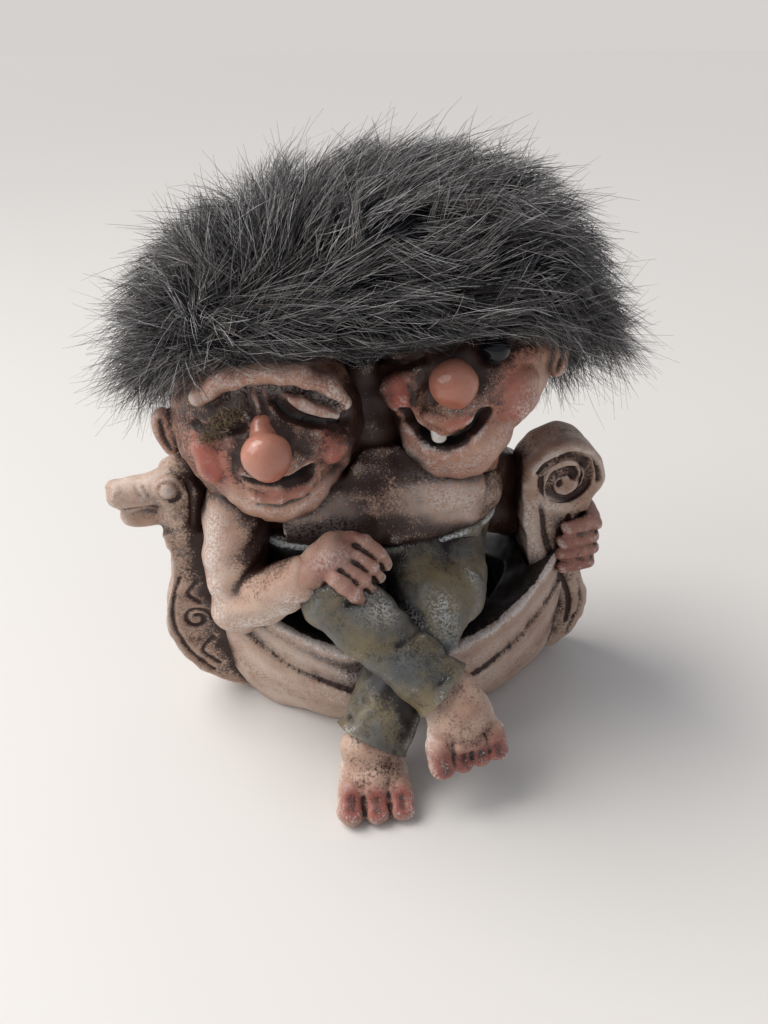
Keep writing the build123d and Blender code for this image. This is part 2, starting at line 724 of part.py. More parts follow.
with BuildPart() as under_foot:
    ankle_forward = UNDER_CUFF_FORWARD + UNDER_ANKLE_SHORT
    under_ankle = place(UNDER_CUFF_ACROSS, ankle_forward, UNDER_ANKLE_HEIGHT)
    foot(aimed(under_ankle, UNDER_FOOT_TURN, UNDER_FOOT_DROP, 0), under_cuff)
    with BuildSketch(Plane.XY) as below_table:
        with Locations((under_ankle.X, under_ankle.Y)):
            Rectangle(OVERRUN, OVERRUN)
    extrude(below_table.sketch, amount=-OVERRUN, mode=Mode.SUBTRACT)
    cut_by(under_leg, crossed_foot, hull)
under_foot.part.label = "under_foot"

# Arms and hands
with BuildPart() as resting_arm:
    wrist = crossed_knee + Vector(-REST_WRIST_SHORT, REST_WRIST_BACK, REST_WRIST_RISE)
    limb(
        (
            place(
                REST_SHOULDER_ACROSS,
                REST_SHOULDER_FORWARD,
                SHOULDER_HEIGHT - REST_SHOULDER_DROP,
            ),
            place(REST_ELBOW_ACROSS, REST_ELBOW_FORWARD, REST_ELBOW_HEIGHT),
            wrist,
        ),
        (REST_SHOULDER_RADIUS, REST_ELBOW_RADIUS, REST_WRIST_RADIUS),
    )
    cut_by(torso, left_head, trouser_seat, hull, prow_post, dragon_head, crossed_leg)
resting_arm.part.label = "resting_arm"

with BuildPart() as resting_hand:
    palm = crossed_knee + Vector(PALM_REACH, 0, PALM_RISE)
    hand = aimed(palm, HAND_TURN, HAND_DROOP, HAND_ROLL)
    ball(palm, PALM_RADIUS)
    tapered(wrist, palm, REST_WRIST_RADIUS, PALM_RADIUS)
    for i in range(FINGER_COUNT):
        across = (i - (FINGER_COUNT - 1) / 2) * FINGER_PITCH
        knuckle = spot(hand, across, 0, 0)
        fingertip = spot(hand, across, 0, FINGER_LENGTH)
        tapered(knuckle, fingertip, FINGER_RADIUS, FINGER_RADIUS)
        ball(fingertip, FINGER_RADIUS + JOINT_SWELL)
        ball(knuckle, FINGER_RADIUS + JOINT_SWELL)
    cut_by(crossed_leg, torso, left_head, resting_arm)
resting_hand.part.label = "resting_hand"

with BuildPart() as gripping_hand:
    post_face = STERN_THICKNESS / 2 + GRIP_FINGER_RADIUS
    post_edge = stern_end + STERN_WAIST + GRIP_FINGER_RADIUS
    grip = Vector(post_edge, post_face, GRIP_HEIGHT)
    ball(grip, GRIP_PALM_RADIUS)
    for i in range(FINGER_COUNT):
        level = GRIP_HEIGHT + (i - (FINGER_COUNT - 1) / 2) * GRIP_FINGER_PITCH
        bend = Vector(post_edge, -post_face, level)
        fingertip = Vector(post_edge - GRIP_FINGER_LENGTH, -post_face, level)
        tapered(Vector(post_edge, post_face, level), bend, GRIP_FINGER_RADIUS, GRIP_FINGER_RADIUS)
        limb((bend, fingertip), (GRIP_FINGER_RADIUS, GRIP_FINGERTIP_RADIUS))
    cut_by(stern_post, hull, stern_scroll)
gripping_hand.part.label = "gripping_hand"

with BuildPart() as gripping_arm:
    limb(
        (
            place(
                GRIP_SHOULDER_ACROSS,
                -GRIP_SHOULDER_BACK,
                SHOULDER_HEIGHT - GRIP_SHOULDER_DROP,
            ),
            place(GRIP_ELBOW_ACROSS, -GRIP_ELBOW_BACK, GRIP_ELBOW_HEIGHT),
            grip,
        ),
        (GRIP_SHOULDER_RADIUS, GRIP_ELBOW_RADIUS, GRIP_WRIST_RADIUS),
    )
    cut_by(torso, trouser_seat, right_head, stern_post, stern_scroll, hull, gripping_hand)
gripping_arm.part.label = "gripping_arm"

# Fur wig: both solids end on one hairline plane, high in front and low behind
def cut_below_hairline(inset):
    """Cuts what lies under the hairline plane, raised by an inset."""
    front = -PILE_DEPTH / 2 - OVERRUN
    back = PILE_DEPTH / 2 + OVERRUN
    slope = (HAIRLINE_BACK_HEIGHT - HAIRLINE_FRONT_HEIGHT) / PILE_DEPTH
    front_height = HAIRLINE_FRONT_HEIGHT + inset + slope * -OVERRUN
    back_height = HAIRLINE_BACK_HEIGHT + inset + slope * OVERRUN
    with BuildSketch(Plane.YZ) as under:
        with BuildLine():
            Polyline(
                (front, front_height),
                (back, back_height),
                (back, 0),
                (front, 0),
                close=True,
            )
        make_face()
    extrude(under.sketch, amount=PILE_WIDTH, both=True, mode=Mode.SUBTRACT)


with BuildPart() as wig_backing:
    skull(left_frame, LEFT_HEAD_RADIUS, LEFT_CHIN_DROP, BACKING_THICKNESS)
    skull(right_frame, RIGHT_HEAD_RADIUS, RIGHT_CHIN_DROP, BACKING_THICKNESS)
    tapered(
        spot(left_frame, 0, SADDLE_RISE, 0),
        spot(right_frame, 0, SADDLE_RISE, 0),
        SADDLE_RADIUS,
        SADDLE_RADIUS,
    )
    cut_below_hairline(HAIRLINE_INSET)
    cut_by(left_head, right_head, glass_eye)
wig_backing.part.label = "wig_backing"

with BuildPart() as fur_pile:
    outlines = []
    for along, depth, height, lift in PILE_SLICE_SHARES:
        slice_plane = Plane.YZ.offset(SEAT_OFFSET + PILE_ACROSS + along * PILE_WIDTH)
        with BuildSketch(slice_plane, mode=Mode.PRIVATE) as outline:
            with Locations((PILE_BACK, PILE_MIDDLE_HEIGHT + lift * PILE_HEIGHT)):
                Ellipse(depth * PILE_DEPTH / 2, height * PILE_HEIGHT / 2)
        outlines.append(outline.sketch)
    loft(outlines)
    cut_below_hairline(0)
    cut_by(left_head, right_head, wig_backing, right_nose, glass_eye, dragon_head, stern_scroll)
fur_pile.part.label = "fur_pile"

os.makedirs("parts", exist_ok=True)
for piece in (
    hull,
    prow_post,
    dragon_head,
    stern_post,
    stern_scroll,
    trouser_seat,
    torso,
    crossed_leg,
    crossed_foot,
    under_leg,
    under_foot,
    resting_arm,
    resting_hand,
    gripping_arm,
    gripping_hand,
    left_head,
    right_head,
    left_nose,
    right_nose,
    glass_eye,
    tooth,
    wig_backing,
    fur_pile,
):
    export_step(piece.part, f"parts/{piece.part.label}.step")
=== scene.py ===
"""Dresses the two-headed troll in its ship: tooled castings, painted washes with painted shade and
highlights, and a fibre wig.

Sizes are millimetres in the figure's own frame: +X runs to the stern, -Y towards the side that
the legs hang over and +Z up. Each mesh is turned to metres as its last step.
"""

from __future__ import annotations

import logging
import math
from dataclasses import dataclass, field
from enum import Enum
from typing import Sequence

import bmesh
import bpy
import numpy as np
from mathutils import Matrix, Vector
from mathutils.bvhtree import BVHTree


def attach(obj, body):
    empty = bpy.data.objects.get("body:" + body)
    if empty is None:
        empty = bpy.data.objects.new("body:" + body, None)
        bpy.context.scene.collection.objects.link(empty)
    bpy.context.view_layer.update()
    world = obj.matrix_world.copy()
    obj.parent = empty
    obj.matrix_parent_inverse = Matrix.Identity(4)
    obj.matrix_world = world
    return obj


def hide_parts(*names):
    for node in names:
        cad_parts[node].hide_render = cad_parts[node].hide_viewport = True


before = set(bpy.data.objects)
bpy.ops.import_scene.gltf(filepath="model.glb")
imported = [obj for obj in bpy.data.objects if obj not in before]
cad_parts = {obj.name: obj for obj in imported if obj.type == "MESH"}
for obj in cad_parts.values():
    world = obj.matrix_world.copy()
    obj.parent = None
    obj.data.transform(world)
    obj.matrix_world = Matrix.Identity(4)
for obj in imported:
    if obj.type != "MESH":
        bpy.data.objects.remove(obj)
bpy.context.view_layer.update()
METRE = 1000.0
TO_METRES = Matrix.Diagonal((1 / METRE, 1 / METRE, 1 / METRE, 1))
LOG = logging.getLogger("troll")
FUSED = {"prow_post": ("dragon_head",), "stern_post": ("stern_scroll",)}
Point = Sequence[float]
Colour = tuple[float, float, float]


class Brush(Enum):
    """The three paint channels that a tool can leave: blush, stain with painted shade, bare paint with
    painted highlights.
    """

    BLUSH = 0
    STAIN_AND_SHADE = 1
    BARE_AND_HIGHLIGHT = 2


def held(name: str, data: bpy.types.ID) -> bpy.types.Object:
    """Hangs data in the scene under a name."""
    holder = bpy.data.objects.new(name, data)
    bpy.context.scene.collection.objects.link(holder)
    return holder


def tree_of(mesh: bpy.types.Mesh) -> BVHTree:
    """Builds a search tree over a mesh."""
    shape = bmesh.new()
    shape.from_mesh(mesh)
    tree = BVHTree.FromBMesh(shape)
    shape.free()
    return tree


def aimed(origin: Point, turn: float = 0.0, drop: float = 0.0, roll: float = 0.0) -> Matrix:
    """Gives a frame with x across, y up and z pointing out of the figure's front.

    Args:
        origin: The frame's place.
        turn: Degrees towards the stern.
        drop: Degrees that z is tipped down.
        roll: Degrees that x is raised.

    Returns:
        The frame's matrix.
    """
    level = Matrix(((1, 0, 0), (0, 0, -1), (0, 1, 0))).to_4x4()
    rolled = Matrix.Rotation(math.radians(-roll), 4, "Y") @ level
    dropped = Matrix.Rotation(math.radians(drop), 4, "X") @ rolled
    return Matrix.Translation(origin) @ Matrix.Rotation(math.radians(turn), 4, "Z") @ dropped


def reach(points: np.ndarray, path: Sequence[Point]) -> tuple[np.ndarray, np.ndarray]:
    """Measures how far points lie from a path.

    Args:
        points: Places, one in each row.
        path: The path's corners; a single corner is a spot.

    Returns:
        Each point's distance, and how far along the path its nearest place is, from 0 to 1.
    """
    corners = np.array([tuple(corner) for corner in path], dtype=float)
    if len(corners) == 1:
        return np.linalg.norm(points - corners[0], axis=1), np.zeros(len(points))
    best = np.full(len(points), np.inf)
    along = np.zeros(len(points))
    for index in range(len(corners) - 1):
        start, step = corners[index], corners[index + 1] - corners[index]
        share = np.clip((points - start) @ step / (step @ step), 0, 1)
        gap = np.linalg.norm(points - (start + share[:, None] * step), axis=1)
        nearer = gap < best
        best = np.where(nearer, gap, best)
        along = np.where(nearer, (index + share) / (len(corners) - 1), along)
    return best, along


def smooth_path(corners: Sequence[Point], steps: int = 6) -> list[tuple[float, ...]]:
    """Rounds a path through its corners.

    Args:
        corners: The places that the path passes through.
        steps: How many pieces each stretch becomes.

    Returns:
        The rounded path's points.
    """
    places = [np.array(corner, dtype=float) for corner in corners]
    ends = [places[0]] + places + [places[-1]]
    path = []
    for a, b, c, d in zip(ends, ends[1:], ends[2:], ends[3:]):
        for index in range(steps):
            t = index / steps
            place = 2 * b + (c - a) * t + (2 * a - 5 * b + 4 * c - d) * t**2
            path.append(tuple(0.5 * (place + (3 * b - a - 3 * c + d) * t**3)))
    path.append(tuple(places[-1]))
    return path


def ring(centre: Point, radius: float, steps: int) -> list[Point]:
    """Gives a closed ring that stands upright along the ship."""
    x, y, z = centre
    angles = [index / steps * math.tau for index in range(steps + 1)]
    return [(x + radius * math.cos(angle), y, z + radius * math.sin(angle)) for angle in angles]


@dataclass
class Clay:
    """Rounded forms pressed together, before they are fused into one casting."""

    name: str
    place: Matrix = field(default_factory=lambda: Matrix.Identity(4))
    voxel: float = 0.4
    soften: int = 4
    mesh: bmesh.types.BMesh = field(default_factory=bmesh.new)

    def ball(self, centre: Point, radius: float, squash: Point = (1, 1, 1)) -> None:
        """Presses on a ball.

        Args:
            centre: The ball's middle in the clay's own frame.
            radius: The ball's radius.
            squash: How much each axis is stretched.
        """
        matrix = self.place @ Matrix.Translation(centre) @ Matrix.Diagonal((*squash, 1))
        bmesh.ops.create_icosphere(self.mesh, subdivisions=3, radius=radius, matrix=matrix)

    def limb(
        self, joints: Sequence[Point], radii: Sequence[float], flat: float = 1.0, side: Point = (1, 0, 0)
    ) -> None:
        """Lays a tapering limb through its joints.

        Args:
            joints: The joints' places.
            radii: The limb's radius at each joint.
            flat: The limb's thickness as a share of its width.
            side: The direction that keeps its full width.
        """
        places = [Vector(joint) for joint in joints]
        for start, end, wide, narrow in zip(places, places[1:], radii, radii[1:]):
            along = (end - start).normalized()
            across = (Vector(side) - along * along.dot(Vector(side))).normalized()
            turn = Matrix((across, along.cross(across), along)).transposed().to_4x4()
            squash = Matrix.Diagonal((1, flat, 1, 1))
            middle = Matrix.Translation((start + end) / 2)
            bmesh.ops.create_cone(
                self.mesh,
                cap_ends=True,
                segments=32,
                radius1=wide,
                radius2=narrow,
                depth=(end - start).length,
                matrix=self.place @ middle @ turn @ squash,
            )
            for spot, radius in ((start, wide), (end, narrow)):
                bmesh.ops.create_icosphere(
                    self.mesh,
                    subdivisions=3,
                    radius=radius,
                    matrix=self.place @ Matrix.Translation(spot) @ turn @ Matrix.Diagonal((1, flat, flat, 1)),
                )

    def node(self, name: str) -> None:
        """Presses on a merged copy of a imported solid."""
        copied = bmesh.new()
        copied.from_mesh(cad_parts[name].data)
        bmesh.ops.remove_doubles(copied, verts=copied.verts, dist=2e-6)
        bmesh.ops.scale(copied, vec=(METRE, METRE, METRE), verts=copied.verts)
        held = bpy.data.meshes.new("held")
        copied.to_mesh(held)
        copied.free()
        self.mesh.from_mesh(held)
        bpy.data.meshes.remove(held)

    def cast(self) -> "Casting":
        """Fuses the forms into one skin and softens it."""
        rough = bpy.data.meshes.new(self.name)
        self.mesh.to_mesh(rough)
        self.mesh.free()
        holder = held(self.name, rough)
        fuse = holder.modifiers.new("fuse", "REMESH")
        fuse.mode = "VOXEL"
        fuse.voxel_size = self.voxel
        fuse.use_smooth_shade = True
        rub = holder.modifiers.new("rub", "SMOOTH")
        rub.factor = 0.5
        rub.iterations = self.soften
        ready = bpy.context.evaluated_depsgraph_get()
        fused = bpy.data.meshes.new_from_object(holder.evaluated_get(ready))
        bpy.data.objects.remove(holder)
        bpy.data.meshes.remove(rough)
        fused.name = self.name
        return Casting(self.name, fused, self.place)


class Casting:
    """One fused piece, worked with modelling tools and a brush."""

    def __init__(self, name: str, mesh: bpy.types.Mesh, place: Matrix) -> None:
        """Reads the fused skin into arrays.

        Args:
            name: The piece's name.
            mesh: Its skin in millimetres.
            place: The frame that its paths are given in.
        """
        self.name = name
        self.mesh = mesh
        count = len(mesh.vertices)
        self.points = np.empty(count * 3)
        mesh.vertices.foreach_get("co", self.points)
        self.points = self.points.reshape(-1, 3)
        self.normals = self.read_normals()
        edges = np.empty(len(mesh.edges) * 2, dtype=int)
        mesh.edges.foreach_get("vertices", edges)
        self.edges = edges.reshape(-1, 2)
        self.paint = np.zeros((count, 3))
        self.inverse = np.array(place.inverted())

    def read_normals(self) -> np.ndarray:
        """Gives the skin's outward directions."""
        normals = np.empty(len(self.mesh.vertices) * 3)
        self.mesh.vertex_normals.foreach_get("vector", normals)
        return normals.reshape(-1, 3)

    def local(self) -> tuple[np.ndarray, np.ndarray]:
        """Gives the points and normals in the piece's own frame."""
        turn, shift = self.inverse[:3, :3], self.inverse[:3, 3]
        return self.points @ turn.T + shift, self.normals @ turn.T

    def under(self, path: Sequence[Point], width: float, flat: bool, sharp: float) -> np.ndarray:
        """Works out how strongly a tool touches each point.

        Args:
            path: Where the tool runs, in the piece's own frame.
            width: The tool's half width.
            flat: True if the tool is pushed straight in along the frame's z.
            sharp: The edge's steepness; 2 is a soft round tool.

        Returns:
            The touch, from 0 to 1.
        """
        points, normals = self.local()
        if flat:
            front = np.clip(normals[:, 2] * 4 + 0.8, 0, 1) * (points[:, 2] > 0)
            gap, _ = reach(points[:, :2], [corner[:2] for corner in path])
        else:
            front = np.ones(len(points))
            gap, _ = reach(points, path)
        return np.exp(-((gap / width) ** sharp)) * front

    def tool(
        self,
        path: Sequence[Point],
        width: float,
        depth: float,
        stain: float = 0.0,
        flat: bool = False,
        sharp: float = 2.0,
    ) -> None:
        """Runs a tool along a path: a groove, or a ridge where the depth is negative.

        Args:
            path: Where the tool runs.
            width: Its half width.
            depth: How deep it presses.
            stain: How much dark wash it leaves.
            flat: True if it is pushed straight in along the frame's z.
            sharp: The edge's steepness.
        """
        touch = self.under(path, width, flat, sharp)
        self.points -= self.normals * (depth * touch)[:, None]
        self.brush(Brush.STAIN_AND_SHADE, touch * stain)

    def brush(self, channel: Brush, amount: np.ndarray) -> None:
        """Adds paint where the amount is more than what is there."""
        self.paint[:, channel.value] = np.maximum(self.paint[:, channel.value], amount)

    def dab(
        self,
        channel: Brush,
        path: Sequence[Point],
        width: float,
        strength: float = 1.0,
        flat: bool = False,
        sharp: float = 2.0,
    ) -> None:
        """Brushes one channel along a path.

        Args:
            channel: Which paint.
            path: Where the brush runs.
            width: Its half width.
            strength: The paint's weight.
            flat: True if it is pushed straight in along the frame's z.
            sharp: The edge's steepness.
        """
        self.brush(channel, self.under(path, width, flat, sharp) * strength)

    def ripple(self, size: float, depth: float, seed: int) -> None:
        """Gives the skin a hand-worked unevenness.

        Args:
            size: The waves' length.
            depth: Their height.
            seed: The pattern's number.
        """
        draw = np.random.default_rng(seed)
        lift = np.zeros(len(self.points))
        for _ in range(9):
            wave = draw.normal(size=3)
            wave *= 2 * math.pi / (size * draw.uniform(0.7, 1.6)) / np.linalg.norm(wave)
            lift += np.sin(self.points @ wave + draw.uniform(0, 2 * math.pi))
        self.points += self.normals * (lift * depth / 3)[:, None]

    def press_flat(self, height: float) -> None:
        """Presses everything under a height flat."""
        self.points[:, 2] = np.maximum(self.points[:, 2], height)

    def settle(self) -> None:
        """Writes the worked points back to the mesh."""
        self.mesh.vertices.foreach_set("co", self.points.ravel())
        self.mesh.update()
        self.normals = self.read_normals()

    def spread(self, values: np.ndarray, rounds: int) -> np.ndarray:
        """Averages values over neighbouring points.

        Args:
            values: One value a point, or one row.
            rounds: How many times to average.

        Returns:
            The averaged values.
        """
        first, second = self.edges[:, 0], self.edges[:, 1]
        degree = np.bincount(self.edges.ravel(), minlength=len(self.points)).astype(float)
        degree = np.maximum(degree, 1)
        columns = values.reshape(len(self.points), -1)
        for _ in range(rounds):
            mean = np.empty_like(columns)
            for index in range(columns.shape[1]):
                column = columns[:, index]
                total = np.bincount(first, weights=column[second], minlength=len(column))
                total += np.bincount(second, weights=column[first], minlength=len(column))
                mean[:, index] = total / degree
            columns = (columns + mean) / 2
        return columns.reshape(values.shape)

    def hollowness(self) -> np.ndarray:
        """Gives each point's curvature: positive in a groove and negative on a ridge."""
        away = self.spread(self.points, 3) - self.points
        bend = np.einsum("ij,ij->i", away, self.normals)
        return self.spread(bend, 2)


class Crevices:
    """How much of the space round each point the figure fills: it sets where wash gathers and where enclosed
    places get painted shade.
    """

    cell = 0.6
    margin = 9.0
    close_range = 1.1
    far_range = 3.6
    column_step = 1e-3

    def __init__(self, castings: Sequence[Casting]) -> None:
        """Fills a grid with the figure's castings.

        Args:
            castings: Every casting of the figure.
        """
        everything = np.concatenate([casting.points for casting in castings])
        self.low = everything.min(axis=0) - self.margin
        self.shape = np.ceil((everything.max(axis=0) + self.margin - self.low) / self.cell).astype(int)
        self.filled = np.zeros(self.shape, dtype=np.float32)
        for casting in castings:
            self.fill(casting)
        self.near = self.blur(self.close_range)
        self.broad = self.blur(self.far_range)

    def fill(self, casting: Casting) -> None:
        """Fills the columns of cells that one casting holds."""
        tree = tree_of(casting.mesh)
        low = np.floor((casting.points.min(axis=0) - self.low) / self.cell).astype(int)
        high = np.ceil((casting.points.max(axis=0) - self.low) / self.cell).astype(int)
        base = float(casting.points[:, 2].min()) - 1.0
        for i in range(low[0], high[0] + 1):
            for j in range(low[1], high[1] + 1):
                x = float(self.low[0] + (i + 0.5) * self.cell)
                y = float(self.low[1] + (j + 0.5) * self.cell)
                self.fill_column(tree, i, j, Vector((x, y, base)))

    def fill_column(self, tree: BVHTree, i: int, j: int, start: Vector) -> None:
        """Fills one column between each way in and the next way out."""
        up = Vector((0, 0, 1))
        entered = None
        while True:
            hit, normal, _, _ = tree.ray_cast(start, up)
            if hit is None:
                return
            if normal.z < 0:
                entered = hit.z if entered is None else entered
            elif entered is not None:
                first = int((entered - self.low[2]) / self.cell + 0.5)
                last = int((hit.z - self.low[2]) / self.cell + 0.5)
                self.filled[i, j, first:last] = 1.0
                entered = None
            start = hit + up * self.column_step

    def blur(self, sigma: float) -> np.ndarray:
        """Blurs the filled cells.

        Args:
            sigma: The blur's radius.

        Returns:
            The blurred grid.
        """
        radius = int(math.ceil(2.2 * sigma / self.cell))
        steps = np.arange(-radius, radius + 1)
        weights = np.exp(-0.5 * (steps * self.cell / sigma) ** 2)
        weights /= weights.sum()
        result = self.filled
        for axis in range(3):
            total = np.zeros_like(result)
            for step, weight in zip(steps, weights):
                total += np.float32(weight) * np.roll(result, step, axis=axis)
            result = total
        return result

    def sample(self, grid: np.ndarray, points: np.ndarray) -> np.ndarray:
        """Reads a grid at points, between its cells."""
        spots = (points - self.low) / self.cell - 0.5
        spots = np.clip(spots, 0, np.array(self.shape) - 2.001)
        whole = spots.astype(int)
        part = spots - whole
        value = np.zeros(len(points))
        for corner in range(8):
            step = np.array([corner & 1, (corner >> 1) & 1, corner >> 2])
            weight = np.prod(np.where(step, part, 1 - part), axis=1)
            place = whole + step
            value += weight * grid[place[:, 0], place[:, 1], place[:, 2]]
        return value

    def wear_and_shade(self, casting: Casting) -> np.ndarray:
        """Works out a casting's rubbing, wash and painted shade.

        Args:
            casting: The piece.

        Returns:
            Rows of groove (wash in hollows, painted shade in tight gaps), edge and shade (painted shade),
            each 0 to 1.
        """
        bend = casting.hollowness()
        # near and broad read how much the figure fills round each point; both darken the wash as painted
        # shade.
        near = self.sample(self.near, casting.points + casting.normals * 0.2)
        broad = self.sample(self.broad, casting.points + casting.normals * 1.6)
        groove = np.clip(bend * 9 + (near - 0.47) * 2.6, 0, 1)
        edge = np.clip(-bend * 9 + (0.40 - near) * 2.2, 0, 1)
        shade = np.clip((broad - 0.30) * 2.6, 0, 1)
        return np.stack([groove, edge, shade], axis=1)


class NodeBench:
    """Lays out shader nodes and joins them."""

    def __init__(self, tree: bpy.types.NodeTree) -> None:
        """Keeps the tree that nodes are added to."""
        self.tree = tree

    def add(self, kind: str, **settings: object) -> bpy.types.Node:
        """Adds a node with its settings."""
        node = self.tree.nodes.new(kind)
        for key, value in settings.items():
            setattr(node, key, value)
        return node

    def join(self, value: object, socket: bpy.types.NodeSocket) -> None:
        """Joins a socket to another, or sets its plain value."""
        if isinstance(value, bpy.types.NodeSocket):
            self.tree.links.new(value, socket)
        else:
            socket.default_value = value

    def preset(self, node: bpy.types.Node, values: dict[str, object]) -> None:
        """Sets or joins a node's inputs by their names."""
        for name, value in values.items():
            self.join(value, node.inputs[name])

    def reckon(self, kind: str, first: object, second: object, clamp: bool = False) -> object:
        """Adds a math node and gives its result."""
        node = self.add("ShaderNodeMath", operation=kind, use_clamp=clamp)
        self.join(first, node.inputs[0])
        self.join(second, node.inputs[1])
        return node.outputs[0]

    def times(self, first: object, second: object, clamp: bool = False) -> object:
        """Multiplies two values."""
        return self.reckon("MULTIPLY", first, second, clamp)

    def plus(self, first: object, second: object) -> object:
        """Adds two values."""
        return self.reckon("ADD", first, second)

    def less(self, first: object, second: object) -> object:
        """Takes the second value from the first."""
        return self.reckon("SUBTRACT", first, second)

    def channels(self, attribute: str) -> Sequence[bpy.types.NodeSocket]:
        """Reads a colour attribute and gives its three channels."""
        split = self.add("ShaderNodeSeparateColor")
        self.join(self.add("ShaderNodeAttribute", attribute_name=attribute).outputs["Color"], split.inputs[0])
        return split.outputs

    def bump(self, height: object, strength: float, distance: float, shader: bpy.types.Node) -> None:
        """Roughens a shader's surface by a height.

        Args:
            height: The height's value.
            strength: The bump's strength.
            distance: The bump's depth in metres.
            shader: The shader.
        """
        node = self.add("ShaderNodeBump")
        self.preset(node, {"Strength": strength, "Distance": distance, "Height": height})
        self.join(node.outputs["Normal"], shader.inputs["Normal"])

    def mix(self, share: object, first: object, second: object, blend: str = "MIX") -> object:
        """Adds a colour mix and gives its result."""
        node = self.add("ShaderNodeMix", data_type="RGBA", blend_type=blend)
        self.join(share, node.inputs[0])
        self.join(first, node.inputs[6])
        self.join(second, node.inputs[7])
        return node.outputs[2]

    def noise(self, vector: object, scale: float, detail: float, rough: float) -> object:
        """Adds a noise texture and gives its value."""
        node = self.add("ShaderNodeTexNoise")
        self.preset(node, {"Vector": vector, "Scale": scale, "Detail": detail, "Roughness": rough})
        return node.outputs[0]

    def step(self, value: object, low: object, high: object) -> object:
        """Adds a soft step from low to high and gives its result."""
        node = self.add("ShaderNodeMapRange", interpolation_type="SMOOTHSTEP")
        self.preset(node, {"Value": value, "From Min": low, "From Max": high})
        return node.outputs["Result"]


def rgba(colour: Colour) -> tuple[float, float, float, float]:
    """Gives a colour with its alpha."""
    return (*colour, 1.0)


CLOUD_SCALE, BLOT_SCALE, SPECK_SCALE, PATCH_SCALE = 130.0, 420.0, 2100.0, 95.0
# Near-black for the heaviest stain: dark paint and painted shade.
DEEPEST_STAIN_AND_SHADE = (0.008, 0.005, 0.005)


def paint_and_shade_group() -> bpy.types.NodeTree:
    """Builds the shared paint group: mottled base, blush, dark wash deepened by painted shade, rubbed pale
    edges and near-black painted shade.
    """
    tree = bpy.data.node_groups.new("paint_and_shade", "ShaderNodeTree")
    sockets = {name: ("INPUT", "Color") for name in ("Base", "Mottle", "Blush", "Wash", "Rub")}
    sockets |= {name: ("INPUT", "Float") for name in ("Wash Level", "Rub Level", "Grain")}
    sockets |= {"Color": ("OUTPUT", "Color"), "Roughness": ("OUTPUT", "Float"), "Height": ("OUTPUT", "Float")}
    for name, (way, kind) in sockets.items():
        tree.interface.new_socket(name, in_out=way, socket_type=f"NodeSocket{kind}")
    bench = NodeBench(tree)
    entry = bench.add("NodeGroupInput").outputs
    leave = bench.add("NodeGroupOutput").inputs
    place = bench.add("ShaderNodeTexCoord").outputs["Object"]
    groove, edge, shade = bench.channels("wear_and_shade")
    # stain holds the brushed dark wash and painted shade; bare holds rubbed paint and painted highlights.
    blush, stain, bare = bench.channels("paint")
    cloud = bench.noise(place, CLOUD_SCALE, 5.0, 0.6)
    blot = bench.noise(place, BLOT_SCALE, 6.0, 0.68)
    speck = bench.noise(place, SPECK_SCALE, 4.0, 0.75)
    base = bench.mix(bench.step(cloud, 0.35, 0.68), entry["Base"], entry["Mottle"])
    pink = bench.times(blush, bench.step(blot, 0.15, 0.5), True)
    base = bench.mix(pink, base, entry["Blush"])
    rough_blot = bench.times(bench.less(blot, 0.5), 1.7)
    rough_speck = bench.times(bench.less(speck, 0.5), 4.0)
    break_up = bench.plus(rough_blot, rough_speck)
    # The wash gathers in grooves and brushed stain, and shade adds painted shade where the figure closes
    # round a point.
    gather = bench.plus(bench.times(groove, 1.0), bench.times(shade, 1.35))
    gather = bench.plus(gather, bench.times(stain, 1.2))
    for channel, weight in ((bare, 0.9), (blush, 0.35), (edge, 0.45)):
        gather = bench.less(gather, bench.times(channel, weight))
    gather = bench.plus(gather, entry["Wash Level"])
    broken = bench.plus(gather, bench.times(break_up, 0.8))
    thin = bench.step(broken, 0.08, 0.5)
    thick = bench.step(broken, 0.5, 0.8)
    tint = bench.mix(0.34, entry["Wash"], base)
    washed_and_shaded = bench.mix(bench.times(thin, 0.82), base, tint)
    washed_and_shaded = bench.mix(thick, washed_and_shaded, entry["Wash"])
    border = bench.times(bench.step(gather, 0.18, 0.5), bench.step(gather, 1.05, 0.6))
    fleck = bench.times(border, bench.step(speck, 0.54, 0.63))
    patch = bench.step(bench.noise(place, PATCH_SCALE, 3.0, 0.5), 0.42, 0.62)
    fleck = bench.times(fleck, bench.times(patch, 0.7))
    dry = bench.plus(bench.times(edge, 0.8), bench.times(break_up, 0.5))
    dry = bench.step(dry, 0.35, 0.8)
    rubbed = bench.plus(bench.times(dry, 0.6), bench.times(fleck, 0.85))
    light = bench.times(bare, bench.step(bench.plus(blot, rough_speck), 0.32, 0.62))
    rubbed = bench.plus(rubbed, bench.times(light, 0.8))
    rubbed = bench.times(rubbed, entry["Rub Level"], True)
    done = bench.mix(rubbed, washed_and_shaded, entry["Rub"])
    # Near-black where the brushed stain is heaviest, in the hull's inside, mouths and deepest cuts: dark
    # paint and painted shade.
    deep_stain_and_shade = bench.times(bench.step(stain, 0.95, 1.25), 0.9)
    done = bench.mix(deep_stain_and_shade, done, rgba(DEEPEST_STAIN_AND_SHADE))
    bench.join(done, leave["Color"])
    gloss = bench.reckon("MULTIPLY_ADD", blot, 0.3)
    gloss.node.inputs[2].default_value = 0.28
    gloss = bench.plus(gloss, bench.times(rubbed, 0.18))
    bench.join(gloss, leave["Roughness"])
    height = bench.plus(bench.times(blot, 0.7), bench.times(speck, 0.25))
    bench.join(bench.times(height, entry["Grain"]), leave["Height"])
    return tree


def blank_material(name: str) -> tuple[bpy.types.Material, NodeBench, bpy.types.Node]:
    """Makes a material and gives it with its bench and shader."""
    material = bpy.data.materials.new(name)
    material.use_nodes = True
    return material, NodeBench(material.node_tree), material.node_tree.nodes["Principled BSDF"]


